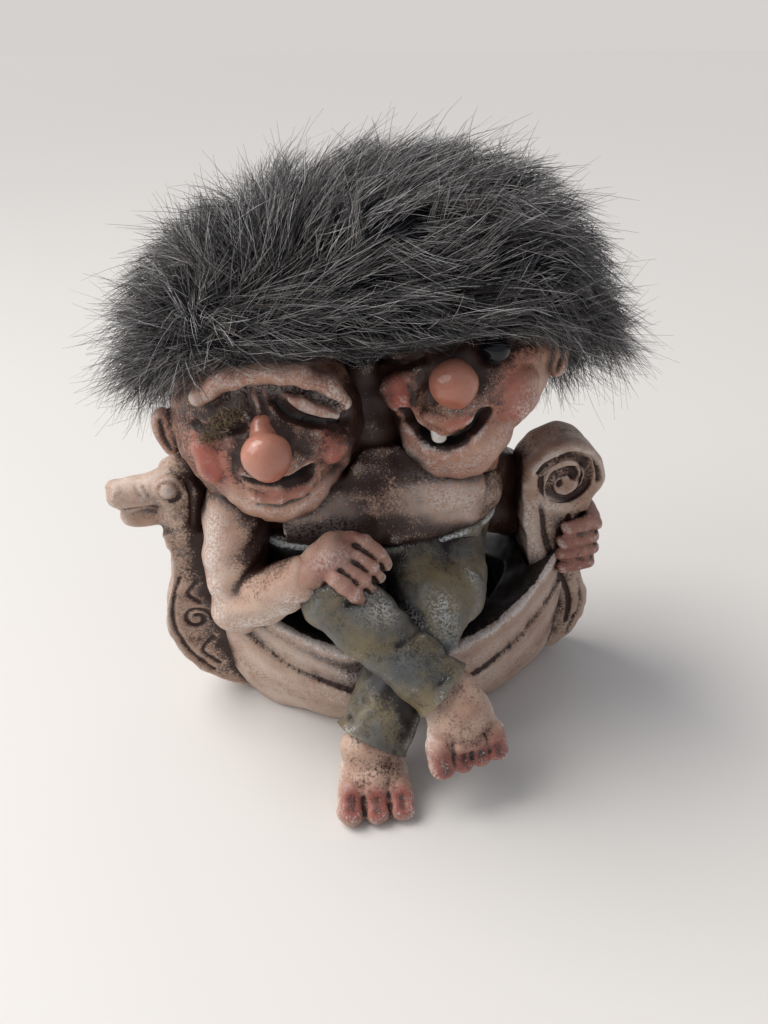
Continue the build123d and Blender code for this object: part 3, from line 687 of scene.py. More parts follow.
@dataclass(frozen=True)
class PaintedFinish:
    """A hand-painted casting's colours, in linear light."""

    name: str
    base: Colour
    mottle: Colour
    blush: Colour
    # The wash colour is also the colour of the painted shade.
    wash: Colour = (0.040, 0.017, 0.012)
    rub: Colour = (0.72, 0.65, 0.61)
    wash_level: float = 0.0
    rub_level: float = 1.0
    grain: float = 1.0
    coat: float = 0.08
    coat_rough: float = 0.32
    shine: float = 0.32
    bump_strength: float = 0.45
    bump_depth: float = 0.0004

    def build(self, group: bpy.types.NodeTree) -> bpy.types.Material:
        """Builds the material round the shared paint group.

        Args:
            group: The shared group.

        Returns:
            The material.
        """
        material, bench, shader = blank_material(self.name)
        paint = bench.add("ShaderNodeGroup", node_tree=group)
        for name in ("Base", "Mottle", "Blush", "Wash", "Rub"):
            paint.inputs[name].default_value = rgba(getattr(self, name.lower()))
        bench.preset(paint, {"Wash Level": self.wash_level, "Rub Level": self.rub_level, "Grain": self.grain})
        bench.bump(paint.outputs["Height"], self.bump_strength, self.bump_depth, shader)
        bench.preset(
            shader,
            {
                "Base Color": paint.outputs["Color"],
                "Roughness": paint.outputs["Roughness"],
                "Specular IOR Level": self.shine,
                "Coat Weight": self.coat,
                "Coat Roughness": self.coat_rough,
            },
        )
        return material


SKIN = PaintedFinish(
    "skin", (0.56, 0.39, 0.295), (0.43, 0.255, 0.185), (0.29, 0.088, 0.070), wash_level=0.10
)
FACE = PaintedFinish(
    "face", (0.50, 0.275, 0.19), (0.37, 0.17, 0.12), (0.42, 0.115, 0.085), wash_level=0.14, coat=0.14
)
HULL = PaintedFinish("hull", (0.54, 0.39, 0.30), (0.41, 0.25, 0.18), (0.30, 0.10, 0.07), wash_level=0.14)
TROUSERS = PaintedFinish(
    "trousers",
    (0.185, 0.145, 0.080),
    (0.095, 0.098, 0.095),
    (0.24, 0.10, 0.07),
    wash=(0.020, 0.015, 0.013),
    # The blue-grey rub is rubbed paint on the ridges and also painted sheen on the trousers.
    rub=(0.56, 0.57, 0.56),
    wash_level=0.08,
    coat=0.2,
)
NOSE = PaintedFinish(
    "nose",
    (0.52, 0.225, 0.155),
    (0.40, 0.15, 0.10),
    (0.42, 0.12, 0.07),
    wash_level=-0.32,
    rub_level=0.12,
    grain=0.35,
    coat=0.7,
    coat_rough=0.12,
)


def plain_material(
    name: str, colour: Colour, dark: Colour, rough: float, coat: float, scale: float
) -> bpy.types.Material:
    """Builds a glossy or cloth-like material with a fine mottle.

    Args:
        name: The material's name.
        colour: Its main colour.
        dark: The mottle's colour.
        rough: The surface roughness.
        coat: The varnish's weight.
        scale: The mottle's scale.

    Returns:
        The material.
    """
    material, bench, shader = blank_material(name)
    place = bench.add("ShaderNodeTexCoord").outputs["Object"]
    speckle = bench.noise(place, scale, 4.0, 0.6)
    mottled = bench.mix(bench.step(speckle, 0.35, 0.7), rgba(colour), rgba(dark))
    bench.preset(shader, {"Base Color": mottled, "Roughness": rough, "Coat Weight": coat})
    bench.preset(shader, {"Specular IOR Level": 0.25 if coat else 0.05, "Coat Roughness": 0.05})
    bench.bump(speckle, 0.2, 0.0002, shader)
    return material


def fur_material(
    name: str, roots: tuple[Colour, Colour], tips: tuple[Colour, Colour], warm_tip: Colour
) -> bpy.types.Material:
    """Builds a fibre material from each fibre's own tone and the way along it.

    Args:
        name: The material's name.
        roots: The darkest and palest root.
        tips: The darkest and palest tip.
        warm_tip: The colour that warm fibres lean towards.

    Returns:
        The material.
    """
    material, bench, shader = blank_material(name)
    along, tone, warm = bench.channels("fibre")
    root = bench.mix(tone, rgba(roots[0]), rgba(roots[1]))
    tip = bench.mix(bench.step(tone, 0.1, 0.85), rgba(tips[0]), rgba(tips[1]))
    tip = bench.mix(bench.times(warm, 0.7), tip, rgba(warm_tip))
    colour = bench.mix(bench.step(along, 0.15, 0.95), root, tip)
    bench.preset(shader, {"Base Color": colour, "Roughness": 0.33, "Specular IOR Level": 0.35})
    return material


def object_of(name: str, mesh: bpy.types.Mesh, material: bpy.types.Material) -> bpy.types.Object:
    """Makes a mesh a shown piece that rides on the figure.

    Args:
        name: The piece's name.
        mesh: Its mesh in metres.
        material: Its material.

    Returns:
        The piece.
    """
    mesh.materials.clear()
    mesh.materials.append(material)
    piece = held(name, mesh)
    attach(piece, "root")
    LOG.info("%s: %d faces", name, len(mesh.polygons))
    return piece


@dataclass
class Ship:
    """The clinker ship: hull, prow post with its dragon, stern post with its scroll."""

    rim_ends: float = 34.0
    rim_middle: float = 19.0
    lap_ends: float = 24.0
    lap_middle: float = 10.5
    half_length: float = 37.0
    half_beam: float = 20.9
    scroll: tuple[float, float] = (32.0, 45.6)
    scroll_turns: float = 1.55
    eye_ring: float = 2.1

    def sheer(self, middle: float, ends: float, side: float, out: float = 0.0) -> list[tuple[float, ...]]:
        """Gives the line that a height follows along one side.

        Args:
            middle: The height amidships.
            ends: The height at both ends.
            side: -1 for the front and 1 for the back.
            out: How far the line stands outside the hull.

        Returns:
            The line's points.
        """
        line = []
        for index in range(25):
            x = -self.half_length + 2 * self.half_length * index / 24
            share = 1 - (x / self.half_length) ** 2
            z = ends - (ends - middle) * share
            line.append((x, side * ((self.half_beam + out) * share**0.92), z))
        return line

    def hull(self) -> Casting:
        """Casts the hull, with its lap groove and rubbed rim."""
        clay = Clay("hull", voxel=0.45, soften=5)
        clay.node("hull")
        hull = clay.cast()
        for side in (-1, 1):
            lap = self.sheer(self.lap_middle, self.lap_ends, side)
            hull.tool(lap, 0.5, 0.6, stain=0.3)
            above = self.sheer(self.lap_middle + 2.2, self.lap_ends + 2.0, side)
            hull.tool(above, 1.6, 0.25)
            rim = self.sheer(self.rim_middle, self.rim_ends, side, -1.8)
            hull.tool(rim, 2.0, -0.45)
            worn = (
                (rim, 2.2, 0.8),
                (self.sheer(self.lap_middle + 3.4, self.lap_ends + 3.4, side), 1.7, 0.62),
                (self.sheer(self.lap_middle - 3.0, self.lap_ends - 4.0, side), 2.0, 0.62),
                (self.sheer(2.5, 6.0, side, -3.5), 3.2, 0.5),
            )
            for line, width, strength in worn:
                hull.dab(Brush.BARE_AND_HIGHLIGHT, line, width, strength)
        # The hull's inside gets heavy stain that turns near-black: dark paint and painted shade.
        x, y, z = hull.points.T
        inward = hull.normals[:, 1] * y + hull.normals[:, 0] * x * 0.3 < 0
        shaded_well = (inward | ((hull.normals[:, 2] > 0.6) & (z < 16))) & (z > 9)
        hull.brush(Brush.STAIN_AND_SHADE, hull.spread(shaded_well * 1.45, 2))
        # Dark patches amidships: painted shadow under the resting arm and the hanging legs, mirrored on the
        # far side.
        for side in (-1, 1):
            patch = [(-24, 17 * side, 22), (-12, 20 * side, 17), (0, 21 * side, 15.5)]
            hull.dab(Brush.STAIN_AND_SHADE, patch, 3.0, 0.8)
            hull.dab(Brush.STAIN_AND_SHADE, [(0, 21 * side, 14), (6, 21 * side, 12), (2, 20 * side, 6)], 3.4, 0.55)
        hull.ripple(9.0, 0.22, 3)
        hull.ripple(2.6, 0.05, 4)
        hull.press_flat(0.0)
        return hull

    def prow(self) -> Casting:
        """Casts the prow post with its carved scrolls and the dragon's head on its top."""
        clay = Clay("prow_post", voxel=0.33, soften=4)
        clay.node("prow_post")
        clay.limb([(-39, 0, 38), (-39.2, 0, 43), (-39.5, 0, 48)], [4.6, 4.6, 5.0])
        clay.limb([(-40, 0, 48.2), (-45, 0, 48.0), (-49.8, 0, 47.6)], [4.7, 3.5, 3.0], 0.85, (0, 0, 1))
        clay.ball((-50.0, 0, 48.9), 2.3, (1, 1.1, 0.8))
        clay.limb([(-41, 0, 44), (-45.5, 0, 43.2), (-49.0, 0, 43.0)], [3.0, 2.3, 1.7])
        clay.limb([(-38.6, 0, 50), (-37.6, 0, 54), (-36.6, 0, 57)], [3.6, 2.6, 1.7], 0.8)
        for side in (-1, 1):
            clay.ball((-40.6, 3.4 * side, 50.2), 2.6, (1, 0.7, 1))
        post = clay.cast()
        for side in (-1, 1):
            self.carve_post(post, 4.5 * side)
            self.carve_head(post, side)
        post.dab(Brush.BARE_AND_HIGHLIGHT, [(-50, 0, 48), (-44, 0, 50)], 3.2, 0.6)
        post.dab(Brush.STAIN_AND_SHADE, [(-36, 0, 42), (-37, 0, 30), (-36, 0, 18), (-30, 0, 8)], 6.5, 0.36)
        post.ripple(6.0, 0.2, 5)
        post.ripple(3.0, 0.08, 6)
        return post

    def carve_post(self, post: Casting, face: float) -> None:
        """Carves one cheek of the prow post.

        Args:
            post: The prow.
            face: The cheek's place on y.
        """
        curl = []
        for index in range(26):
            angle = index / 25 * 2.6 * math.pi
            radius = 2.9 * (1 - index / 34)
            curl.append((-39.5 + radius * math.cos(angle), 21 + radius * math.sin(angle)))
        edge = smooth_path([(-41.5, 31), (-43.3, 26), (-44.0, 20), (-42, 13), (-38, 7)])
        leaf = smooth_path([(-38.5, 30), (-40.5, 27), (-38.5, 25)])
        tail = smooth_path([(-37, 16), (-39.5, 12.5), (-36.5, 9)])
        cuts = (
            (edge, 0.5, 0.5, 0.4),
            (curl, 0.42, 0.5, 0.3),
            (leaf, 0.45, 0.45, 0.3),
            (tail, 0.45, 0.45, 0.3),
        )
        for path, width, depth, stain in cuts:
            post.tool([(x, face, z) for x, z in path], width, depth, stain)

    def carve_head(self, post: Casting, side: int) -> None:
        """Carves the ringed eye, jaws, nostril and creases on one side of the dragon's head.

        Args:
            post: The prow.
            side: -1 for the front and 1 for the back.
        """
        eye = (-40.6, 5.0 * side, 50.2)
        post.tool(ring(eye, self.eye_ring, 12), 0.5, 0.55, stain=0.6)
        post.tool([eye], 1.2, -0.35)
        post.dab(Brush.STAIN_AND_SHADE, [eye], 1.5, 0.5)
        jaws = [(-51, 1.2 * side, 45.4), (-47, 2.6 * side, 45.5), (-44, 3.2 * side, 45.9)]
        post.tool(jaws, 0.55, 0.9, stain=1.2)
        post.tool([(-50.8, 1.5 * side, 49.2)], 0.55, 0.6, stain=1.0)
        for crease in range(3):
            start = (-46.5 + 1.5 * crease, 2.4 * side, 50.2)
            post.tool([start, (start[0] + 0.8, 3.0 * side, 48.6)], 0.35, 0.3, stain=0.3)
        mane = [(-37.8, 3.0 * side, 54), (-36.6, 4.4 * side, 48), (-37.5, 4.6 * side, 43)]
        post.tool(mane, 0.5, 0.5, stain=0.5)
        post.dab(Brush.STAIN_AND_SHADE, [(-44, 3.6 * side, 47.5), (-40, 4.6 * side, 45.5)], 1.8, 0.35)

    def stern(self) -> Casting:
        """Casts the stern post with its rolled end."""
        x, z = self.scroll
        clay = Clay("stern_post", voxel=0.33, soften=6)
        clay.node("stern_post")
        clay.node("stern_scroll")
        post = clay.cast()
        for side in (-1, 1):
            face = 4.6 * side
            band = [(26.6, 43), (28.4, 38), (29.8, 32), (32.8, 25), (36.5, 17), (37, 10)]
            outer = [(33.6, 37.6), (34.6, 31), (38.0, 22), (39.3, 15), (37.6, 7)]
            worn = [(25.6, 40), (26.8, 34), (30, 25), (33, 18)]
            band, outer, worn = (smooth_path([(u, face, w) for u, w in path]) for path in (band, outer, worn))
            post.tool(band, 0.6, 0.6, stain=0.4)
            post.tool(outer, 0.45, 0.35, stain=0.35)
            post.dab(Brush.BARE_AND_HIGHLIGHT, worn, 1.5, 0.9)
            spiral = []
            for index in range(49):
                turn = index / 48 * self.scroll_turns
                radius = 1.3 + 5.2 * turn / self.scroll_turns
                angle = math.tau * turn + math.pi * 0.9
                spiral.append((x + radius * math.cos(angle), 5.0 * side, z - radius * math.sin(angle)))
            post.tool(spiral, 0.7, 0.9, stain=0.8)
            post.tool(ring((x, 5.0 * side, z), 7.2, 24), 1.2, -0.3)
            post.dab(Brush.BARE_AND_HIGHLIGHT, [(x - 5, 5.0 * side, z - 4.5), (x - 1, 5.0 * side, z - 6)], 1.6, 0.8)
        post.ripple(6.0, 0.2, 7)
        post.ripple(3.0, 0.06, 8)
        return post

    def build(self) -> list[Casting]:
        """Casts all of the ship."""
        return [self.hull(), self.prow(), self.stern()]


@dataclass
class Body:
    """The shared torso in its trousers, with both arms and both legs."""

    middle: float = -4.0
    waist: float = 39.5
    crossed_knee: Point = (-13.0, -19.0, 35.0)
    crossed_cuff: Point = (4.0, -31.5, 21.5)
    under_knee: Point = (4.5, -16.0, 29.5)
    under_cuff: Point = (-9.5, -30.0, 9.5)
    hem: float = 0.8
    leg_flat: float = 0.86
    toe_span: float = 13.6
    finger_pitch: float = 2.55
    grip_pitch: float = 3.05

    def torso(self) -> Casting:
        """Casts the bare torso."""
        x = self.middle
        clay = Clay("torso", voxel=0.42, soften=8)
        clay.node("torso")
        clay.ball((x - 10, -6.5, 47), 6.5, (1.4, 0.8, 1))
        clay.ball((x + 11, -6.5, 48), 6.5, (1.3, 0.8, 1))
        clay.ball((x + 1, -7.6, 42.5), 6.2, (2.0, 0.75, 0.75))
        clay.limb([(-5.0, 1.0, 50), (-5.5, 2.5, 73)], [8.0, 6.0])
        torso = clay.cast()
        # Stain over the whole torso, heavier below the chest: dark wash and painted shade between the arms
        # and under the heads.
        torso.brush(Brush.STAIN_AND_SHADE, np.clip((torso.points[:, 2] - 54) / 4, 0, 1) * 0.15)
        torso.tool([(x, -13.5, 52), (x + 0.5, -13.5, 44), (x, -13, 40)], 1.2, 0.5, stain=0.4)
        torso.tool([(x - 14, -12, 44.5), (x, -14, 45.5), (x + 16, -11, 44.5)], 0.9, 0.45, stain=0.3)
        torso.dab(Brush.BARE_AND_HIGHLIGHT, [(x + 8, -13, 49), (x + 16, -11, 46)], 4.0, 0.9)
        torso.dab(Brush.BARE_AND_HIGHLIGHT, [(x - 16, -10, 46), (x - 8, -13, 47)], 3.6, 0.6)
        # Dark dabs across the belly and under the heads: painted shade between the arms and under the heads.
        torso.dab(Brush.STAIN_AND_SHADE, [(x - 20, -10, 43), (x - 4, -13, 44), (x + 6, -13, 44)], 4.5, 0.65)
        torso.dab(Brush.STAIN_AND_SHADE, [(x - 2, -10, 52), (x + 12, -10, 54)], 4.0, 0.6)
        torso.brush(Brush.STAIN_AND_SHADE, np.clip((58 - torso.points[:, 2]) / 3, 0, 1) * 0.38)
        torso.ripple(5.0, 0.25, 11)
        return torso

    def seat(self) -> Casting:
        """Casts the trousers' seat and waist."""
        x = self.middle
        clay = Clay("trouser_seat", voxel=0.42, soften=6)
        clay.node("trouser_seat")
        clay.limb([(x + 5, -9, 38), (x + 17, -6, 38)], [3.6, 3.4], 0.8)
        seat = clay.cast()
        front = [(x - 22, -5, 39.6), (x - 8, -12.9, 39.8), (x + 6, -13.2, 39.6)]
        front = smooth_path(front + [(x + 20, -6.5, 39.4), (x + 23.5, 0, 39.4)])
        seat.tool(front, 0.7, -0.7)
        seat.dab(Brush.BARE_AND_HIGHLIGHT, front, 0.8, 1.0)
        seat.tool([(x + 8, -13, 37), (x + 6, -13, 31)], 0.8, 0.5, stain=0.5)
        seat.tool([(x + 17, -9, 37), (x + 12, -12, 31)], 1.0, 0.45, stain=0.4)
        seat.ripple(6.0, 0.25, 12)
        return seat

    def leg(
        self,
        name: str,
        hip: Point,
        knee: Point,
        cuff: Point,
        radii: Sequence[float],
        panel: Sequence[Point] = (),
    ) -> Casting:
        """Casts one trousered leg with folds at the knee and an open cuff.

        Args:
            name: The leg's name.
            hip: Where it leaves the seat.
            knee: The bent knee.
            cuff: The trouser's end.
            radii: The radius at the hip, knee and cuff.
            panel: Where the cloth is drawn flat from the waist to the knee.

        Returns:
            The casting.
        """
        knee, cuff = Vector(knee), Vector(cuff)
        along = (cuff - knee).normalized()
        side = Vector((0, 0, 1)).cross(along).normalized()
        outward = along.cross(side).normalized()
        if outward.z < 0:
            outward = -outward
        clay = Clay(name, voxel=0.38, soften=6)
        clay.limb([hip, knee], radii[:2], 0.94, (1, 0, 0.3))
        if panel:
            clay.limb(panel, [radii[1] - 0.6] * len(panel), 0.9)
        middle = knee.lerp(cuff, 0.5) - outward * 0.3
        calf = (radii[1] + radii[2]) / 2 - 0.4
        clay.limb([knee, middle, cuff], [radii[1], calf, radii[2]], self.leg_flat, side)
        clay.limb([cuff - along * 2.2, cuff], [radii[2] + 0.1, radii[2] + 0.55], self.leg_flat, side)
        leg = clay.cast()
        beyond = (leg.points - np.array(cuff)) @ np.array(along) + self.hem
        leg.points -= np.outer(np.clip(beyond, 0, None), np.array(along))
        hem = []
        for index in range(25):
            angle = index / 24 * math.tau
            wide = side * math.cos(angle) * (radii[2] + 0.4)
            wide = wide + outward * math.sin(angle) * (radii[2] + 0.4) * self.leg_flat
            hem.append(cuff + wide)
        leg.dab(Brush.BARE_AND_HIGHLIGHT, hem, 0.5, 0.9)
        shin = knee.lerp(cuff, 0.25)
        for crease, spread in ((0.08, 0.8), (0.3, 0.2), (0.52, 0.5), (0.76, 0.3), (0.88, 0.7)):
            spot = knee.lerp(cuff, crease)
            thick = radii[1] + (radii[2] - radii[1]) * crease
            start = spot - side * thick * spread + outward * thick * 0.7
            finish = spot + side * thick * 0.9 + along * 2.2 + outward * thick * 0.3
            leg.tool(smooth_path([start, (start + finish) / 2 + outward * 1.2, finish]), 0.8, 0.5, stain=0.35)
        # A pale patch on the upper side of the shin: painted highlight.
        leg.dab(Brush.BARE_AND_HIGHLIGHT, [shin + outward * radii[1] * 0.9], 3.4, 1.3)
        flank = [knee.lerp(cuff, share) + side * (radii[2] + 0.6) for share in (0.2, 0.5, 0.9)]
        leg.dab(Brush.BARE_AND_HIGHLIGHT, flank, 0.9, 1.0)
        shadow = [knee.lerp(cuff, share) + outward * radii[2] * 0.5 for share in (0.45, 0.75)]
        leg.dab(Brush.STAIN_AND_SHADE, shadow, 3.2, 0.5)
        if panel:
            leg.dab(Brush.BARE_AND_HIGHLIGHT, [(10.5, -17.0, 36.5), (11.5, -19.5, 30.0), (8.5, -21.0, 25.0)], 1.1, 0.8)
            leg.dab(Brush.BARE_AND_HIGHLIGHT, [(4.5, -22.5, 33.0), (5.5, -23, 29)], 2.6, 0.9)
            leg.dab(Brush.BARE_AND_HIGHLIGHT, [(-14.0, -30.5, 18), (-15.0, -32.5, 11)], 1.6, 0.9)
            # Painted shadow where the crossing leg passes over the under leg.
            leg.dab(Brush.STAIN_AND_SHADE, [(-2.0, -30, 19), (-3.5, -32, 11)], 2.6, 0.9)
        leg.ripple(6.5, 0.28, len(name))
        leg.ripple(2.4, 0.06, len(name) + 1)
        return leg

    def foot(
        self, name: str, place: Matrix, cuff: Point, length: float, toes: Sequence[float]
    ) -> Casting:
        """Casts one bare foot with its toes and dark nails.

        Args:
            name: The foot's name.
            place: Its frame: x across, y out of the instep and z to the toes.
            cuff: Where the ankle goes up into the trouser.
            length: From the ankle to the ball of the foot.
            toes: Each toe's radius, from the viewer's left.

        Returns:
            The casting.
        """
        clay = Clay(name, place=place, voxel=0.27, soften=3)
        ankle = place.inverted() @ Vector(cuff)
        clay.limb([tuple(ankle), (0, 0.4, 0), (0, 0, 2.5)], [5.2, 5.3, 5.2], 0.8)
        clay.ball((0, -0.6, -1.2), 3.9)
        clay.limb([(0, 0.2, 0.0), (0, -0.2, length - 2.6)], [5.9, 6.6], 0.5)
        for side, pad in ((-1, 3.2), (1, 3.3)):
            clay.ball((3.7 * side, -0.4, length - 1.6), pad, (1, 0.85, 1.0))
        edge = -self.toe_span / 2
        total = sum(toes)
        nails = []
        for radius in toes:
            width = self.toe_span * radius / total
            x = edge + width / 2
            edge += width
            bow = 1.0 - (x / 7.5) ** 2 * 0.9
            tip = length + 0.4 + bow
            clay.limb([(x * 0.95, 0.4, length - 2.5), (x, 0.0, tip)], [radius * 1.22, radius * 1.2], 1.0)
            nails.append((x, radius, tip))
        foot = clay.cast()
        for index, (x, radius, tip) in enumerate(nails):
            nail = [(x, radius * 1.15, tip + 0.3), (x, radius * 1.25, tip - 1.0)]
            foot.tool(nail, radius * 0.6, 0.45, stain=0.85, sharp=3)
            foot.dab(Brush.BLUSH, nail, radius * 1.5, 1.2)
            if index:
                left = (x + nails[index - 1][0]) / 2
                gap = [(left * 0.9, 2.6, length - 3.0), (left, 1.9, length + 0.5), (left, 0.2, tip + 1.4)]
                foot.tool(gap, 0.42, 0.4, stain=0.4)
                foot.dab(Brush.BLUSH, gap, 1.0, 0.6)
        foot.dab(Brush.BLUSH, [(-4, 1.5, length), (4, 1.5, length)], 3.4, 0.5)
        foot.dab(Brush.STAIN_AND_SHADE, [(-3, 2.6, length - 2.5), (3, 2.6, length - 2.5)], 2.6, 0.3)
        for side in (-1, 1):
            worn = [(5.6 * side, 0.4, 0.0), (6.6 * side, 0.0, length), (6.0 * side, -0.6, length + 2)]
            foot.dab(Brush.BARE_AND_HIGHLIGHT, worn, 1.5, 0.9)
        foot.ripple(3.2, 0.12, len(name))
        foot.press_flat(0.0)
        return foot

    def resting_arm(self) -> Casting:
        """Casts the arm whose hand lies on the crossed knee."""
        clay = Clay("resting_arm", voxel=0.36, soften=6)
        shoulder, elbow, wrist = (-29, -3, 45.5), (-30.3, -9.5, 28.0), (-18.8, -18.6, 39.4)
        clay.limb([shoulder, (-30.6, -7.0, 36.5), elbow], [6.4, 5.9, 5.2])
        clay.limb([elbow, (-25.6, -13.4, 32.2), wrist], [5.2, 5.1, 3.9])
        clay.ball((-31.2, -10.0, 26.8), 4.6)
        arm = clay.cast()
        arm.tool([(-27.5, -13.5, 34), (-25.5, -13.0, 37)], 1.2, 0.6, stain=0.4)
        arm.dab(Brush.BARE_AND_HIGHLIGHT, [(-34, -8, 45), (-35.5, -11, 38), (-35, -13, 29)], 3.0, 1.1)
        arm.dab(Brush.BARE_AND_HIGHLIGHT, [(-31, -15.5, 27), (-24, -19, 31), (-20, -21, 36)], 3.0, 1.15)
        # Darker along the inner side, between the arm and the body: painted shade.
        arm.dab(Brush.STAIN_AND_SHADE, [(-27, -9, 40), (-25, -12, 36), (-21, -15, 40)], 3.4, 0.75)
        arm.ripple(5.0, 0.25, 21)
        return arm

    def resting_hand(self) -> Casting:
        """Casts the hand on the knee, with four fingers over its far side."""
        place = aimed((-12.0, -19.0, 42.6), 59.0, 24.0, 30.0)
        clay = Clay("resting_hand", place=place, voxel=0.27, soften=3)
        wrist = place.inverted() @ Vector((-18.0, -18.6, 40.0))
        clay.limb([tuple(wrist), (0, 0.4, -2.0)], [3.9, 4.3], 0.8)
        clay.ball((0, 0.2, -0.8), 4.3, (1.15, 0.7, 1.0))
        fingers = []
        for index in range(4):
            x = (index - 1.5) * self.finger_pitch
            knuckle, bend, tip = (x, 1.4, 1.6), (x * 1.04, 0.8, 4.6), (x * 1.02, -1.6, 6.3)
            clay.limb([(x * 0.9, 0.6, -1.5), knuckle, bend, tip], [1.4, 1.65, 1.5, 1.25])
            fingers.append((knuckle, bend, tip))
        hand = clay.cast()
        for index, (knuckle, bend, tip) in enumerate(fingers):
            hand.dab(Brush.BLUSH, [knuckle, bend], 1.9, 0.95)
            hand.dab(Brush.STAIN_AND_SHADE, [(tip[0], tip[1] + 1.0, tip[2] + 0.9)], 0.8, 0.6)
            if index:
                x = knuckle[0] - self.finger_pitch / 2
                gap = [(x, 2.4, 0.4), (x, 2.1, 2.4), (x, 1.4, 4.4), (x, 0.0, 6.0), (x, -1.6, 6.8)]
                hand.tool(gap, 0.5, 0.7, stain=0.6)
        hand.dab(Brush.BLUSH, [(-4, 2, -2), (4, 2, 0)], 3.0, 0.8)
        hand.dab(Brush.BARE_AND_HIGHLIGHT, [(-4, 3, -3), (0, 3.4, 0)], 1.8, 0.5)
        hand.dab(Brush.STAIN_AND_SHADE, [(-5, 0, 2), (-5, -2, 6)], 2.0, 0.5)
        hand.ripple(3.0, 0.15, 22)
        return hand

    def gripping_arm(self) -> Casting:
        """Casts the arm that reaches behind the stern post."""
        clay = Clay("gripping_arm", voxel=0.4, soften=6)
        clay.limb([(16.5, 3, 46), (26, 10, 38), (37.2, 7.2, 31.5)], [6.4, 5.8, 4.2])
        clay.limb([(20, 6, 36), (29, 8, 30)], [6.5, 5.0])
        arm = clay.cast()
        # The whole arm is darkened evenly: painted shade where it reaches behind the stern post.
        arm.brush(Brush.STAIN_AND_SHADE, np.full(len(arm.points), 0.45))
        arm.ripple(5.0, 0.22, 23)
        return arm

    def gripping_hand(self) -> Casting:
        """Casts the hand whose four red fingers close round the stern post."""
        clay = Clay("gripping_hand", voxel=0.27, soften=3)
        clay.ball((38.8, 5.6, 31.2), 4.6, (0.9, 0.9, 1.15))
        fingers = []
        for index in range(4):
            z = 31.5 + (index - 1.5) * self.grip_pitch
            bend = (38.8 - 0.15 * abs(index - 1.5), -5.4, z)
            tip = (33.4 - 0.5 * (1.5 - abs(index - 1.5)), -6.0, z - 0.5)
            clay.limb([(39.0, 5.5, z), (39.2, 0, z), bend, tip], [1.8, 1.85, 1.8, 1.5])
            fingers.append((bend, tip, z))
        hand = clay.cast()
        for index, (bend, tip, z) in enumerate(fingers):
            hand.dab(Brush.BLUSH, [(40, 2, z), bend, tip], 2.3, 1.15)
            hand.dab(Brush.STAIN_AND_SHADE, [bend, tip], 1.6, 0.4)
            middle = ((bend[0] + tip[0]) / 2, -7.6, z)
            hand.tool([middle, (middle[0] + 0.4, -7.4, z + 1.2)], 0.45, 0.3, stain=0.5)
            if index:
                low = z - self.grip_pitch / 2
                gap = [(40.6, 4, low), (40.8, -4.5, low), (39, -7.2, low), (33, -7.4, low - 0.3)]
                hand.tool(gap, 0.4, 0.7, stain=0.85)
        hand.ripple(3.0, 0.14, 24)
        return hand

    def build(self) -> list[Casting]:
        """Casts the torso, trousers, legs, feet, arms and hands."""
        panel = [(1.5, -5.5, 34.5), (9.5, -5.0, 34.5), (8.0, -14.5, 30.0), (3.5, -16, 30.5), (2.0, -8, 35)]
        crossed = aimed((5.6, -33.2, 19.3), 18.0, 60.0, 12.0)
        under = aimed((-9.0, -31.0, 5.0), -4.0, 20.0, 0.0)
        return [
            self.torso(),
            self.seat(),
            self.leg("crossed_leg", (-12, -2, 29), self.crossed_knee, self.crossed_cuff, (8.4, 7.0, 6.1)),
            self.leg("under_leg", (6, -1, 29), self.under_knee, self.under_cuff, (8.6, 7.8, 6.6), panel),
            self.foot("crossed_foot", crossed, self.crossed_cuff, 8.0, (2.1, 1.75, 1.7, 1.85)),
            self.foot("under_foot", under, self.under_cuff, 7.2, (2.1, 1.9, 1.9)),
            self.resting_arm(),
            self.resting_hand(),
            self.gripping_arm(),
            self.gripping_hand(),
        ]


@dataclass(frozen=True)
class Stroke:
    """One pass straight into a face: a cut, or a dab of paint where it has a brush."""

    path: Sequence[Point]
    width: float
    force: float
    stain: float = 0.0
    sharp: float = 2.0
    brush: Brush | None = None


def dab(brush: Brush, path: Sequence[Point], width: float, force: float, sharp: float = 2.0) -> Stroke:
    """Gives a dab of paint on a face."""
    return Stroke(path, width, force, sharp=sharp, brush=brush)


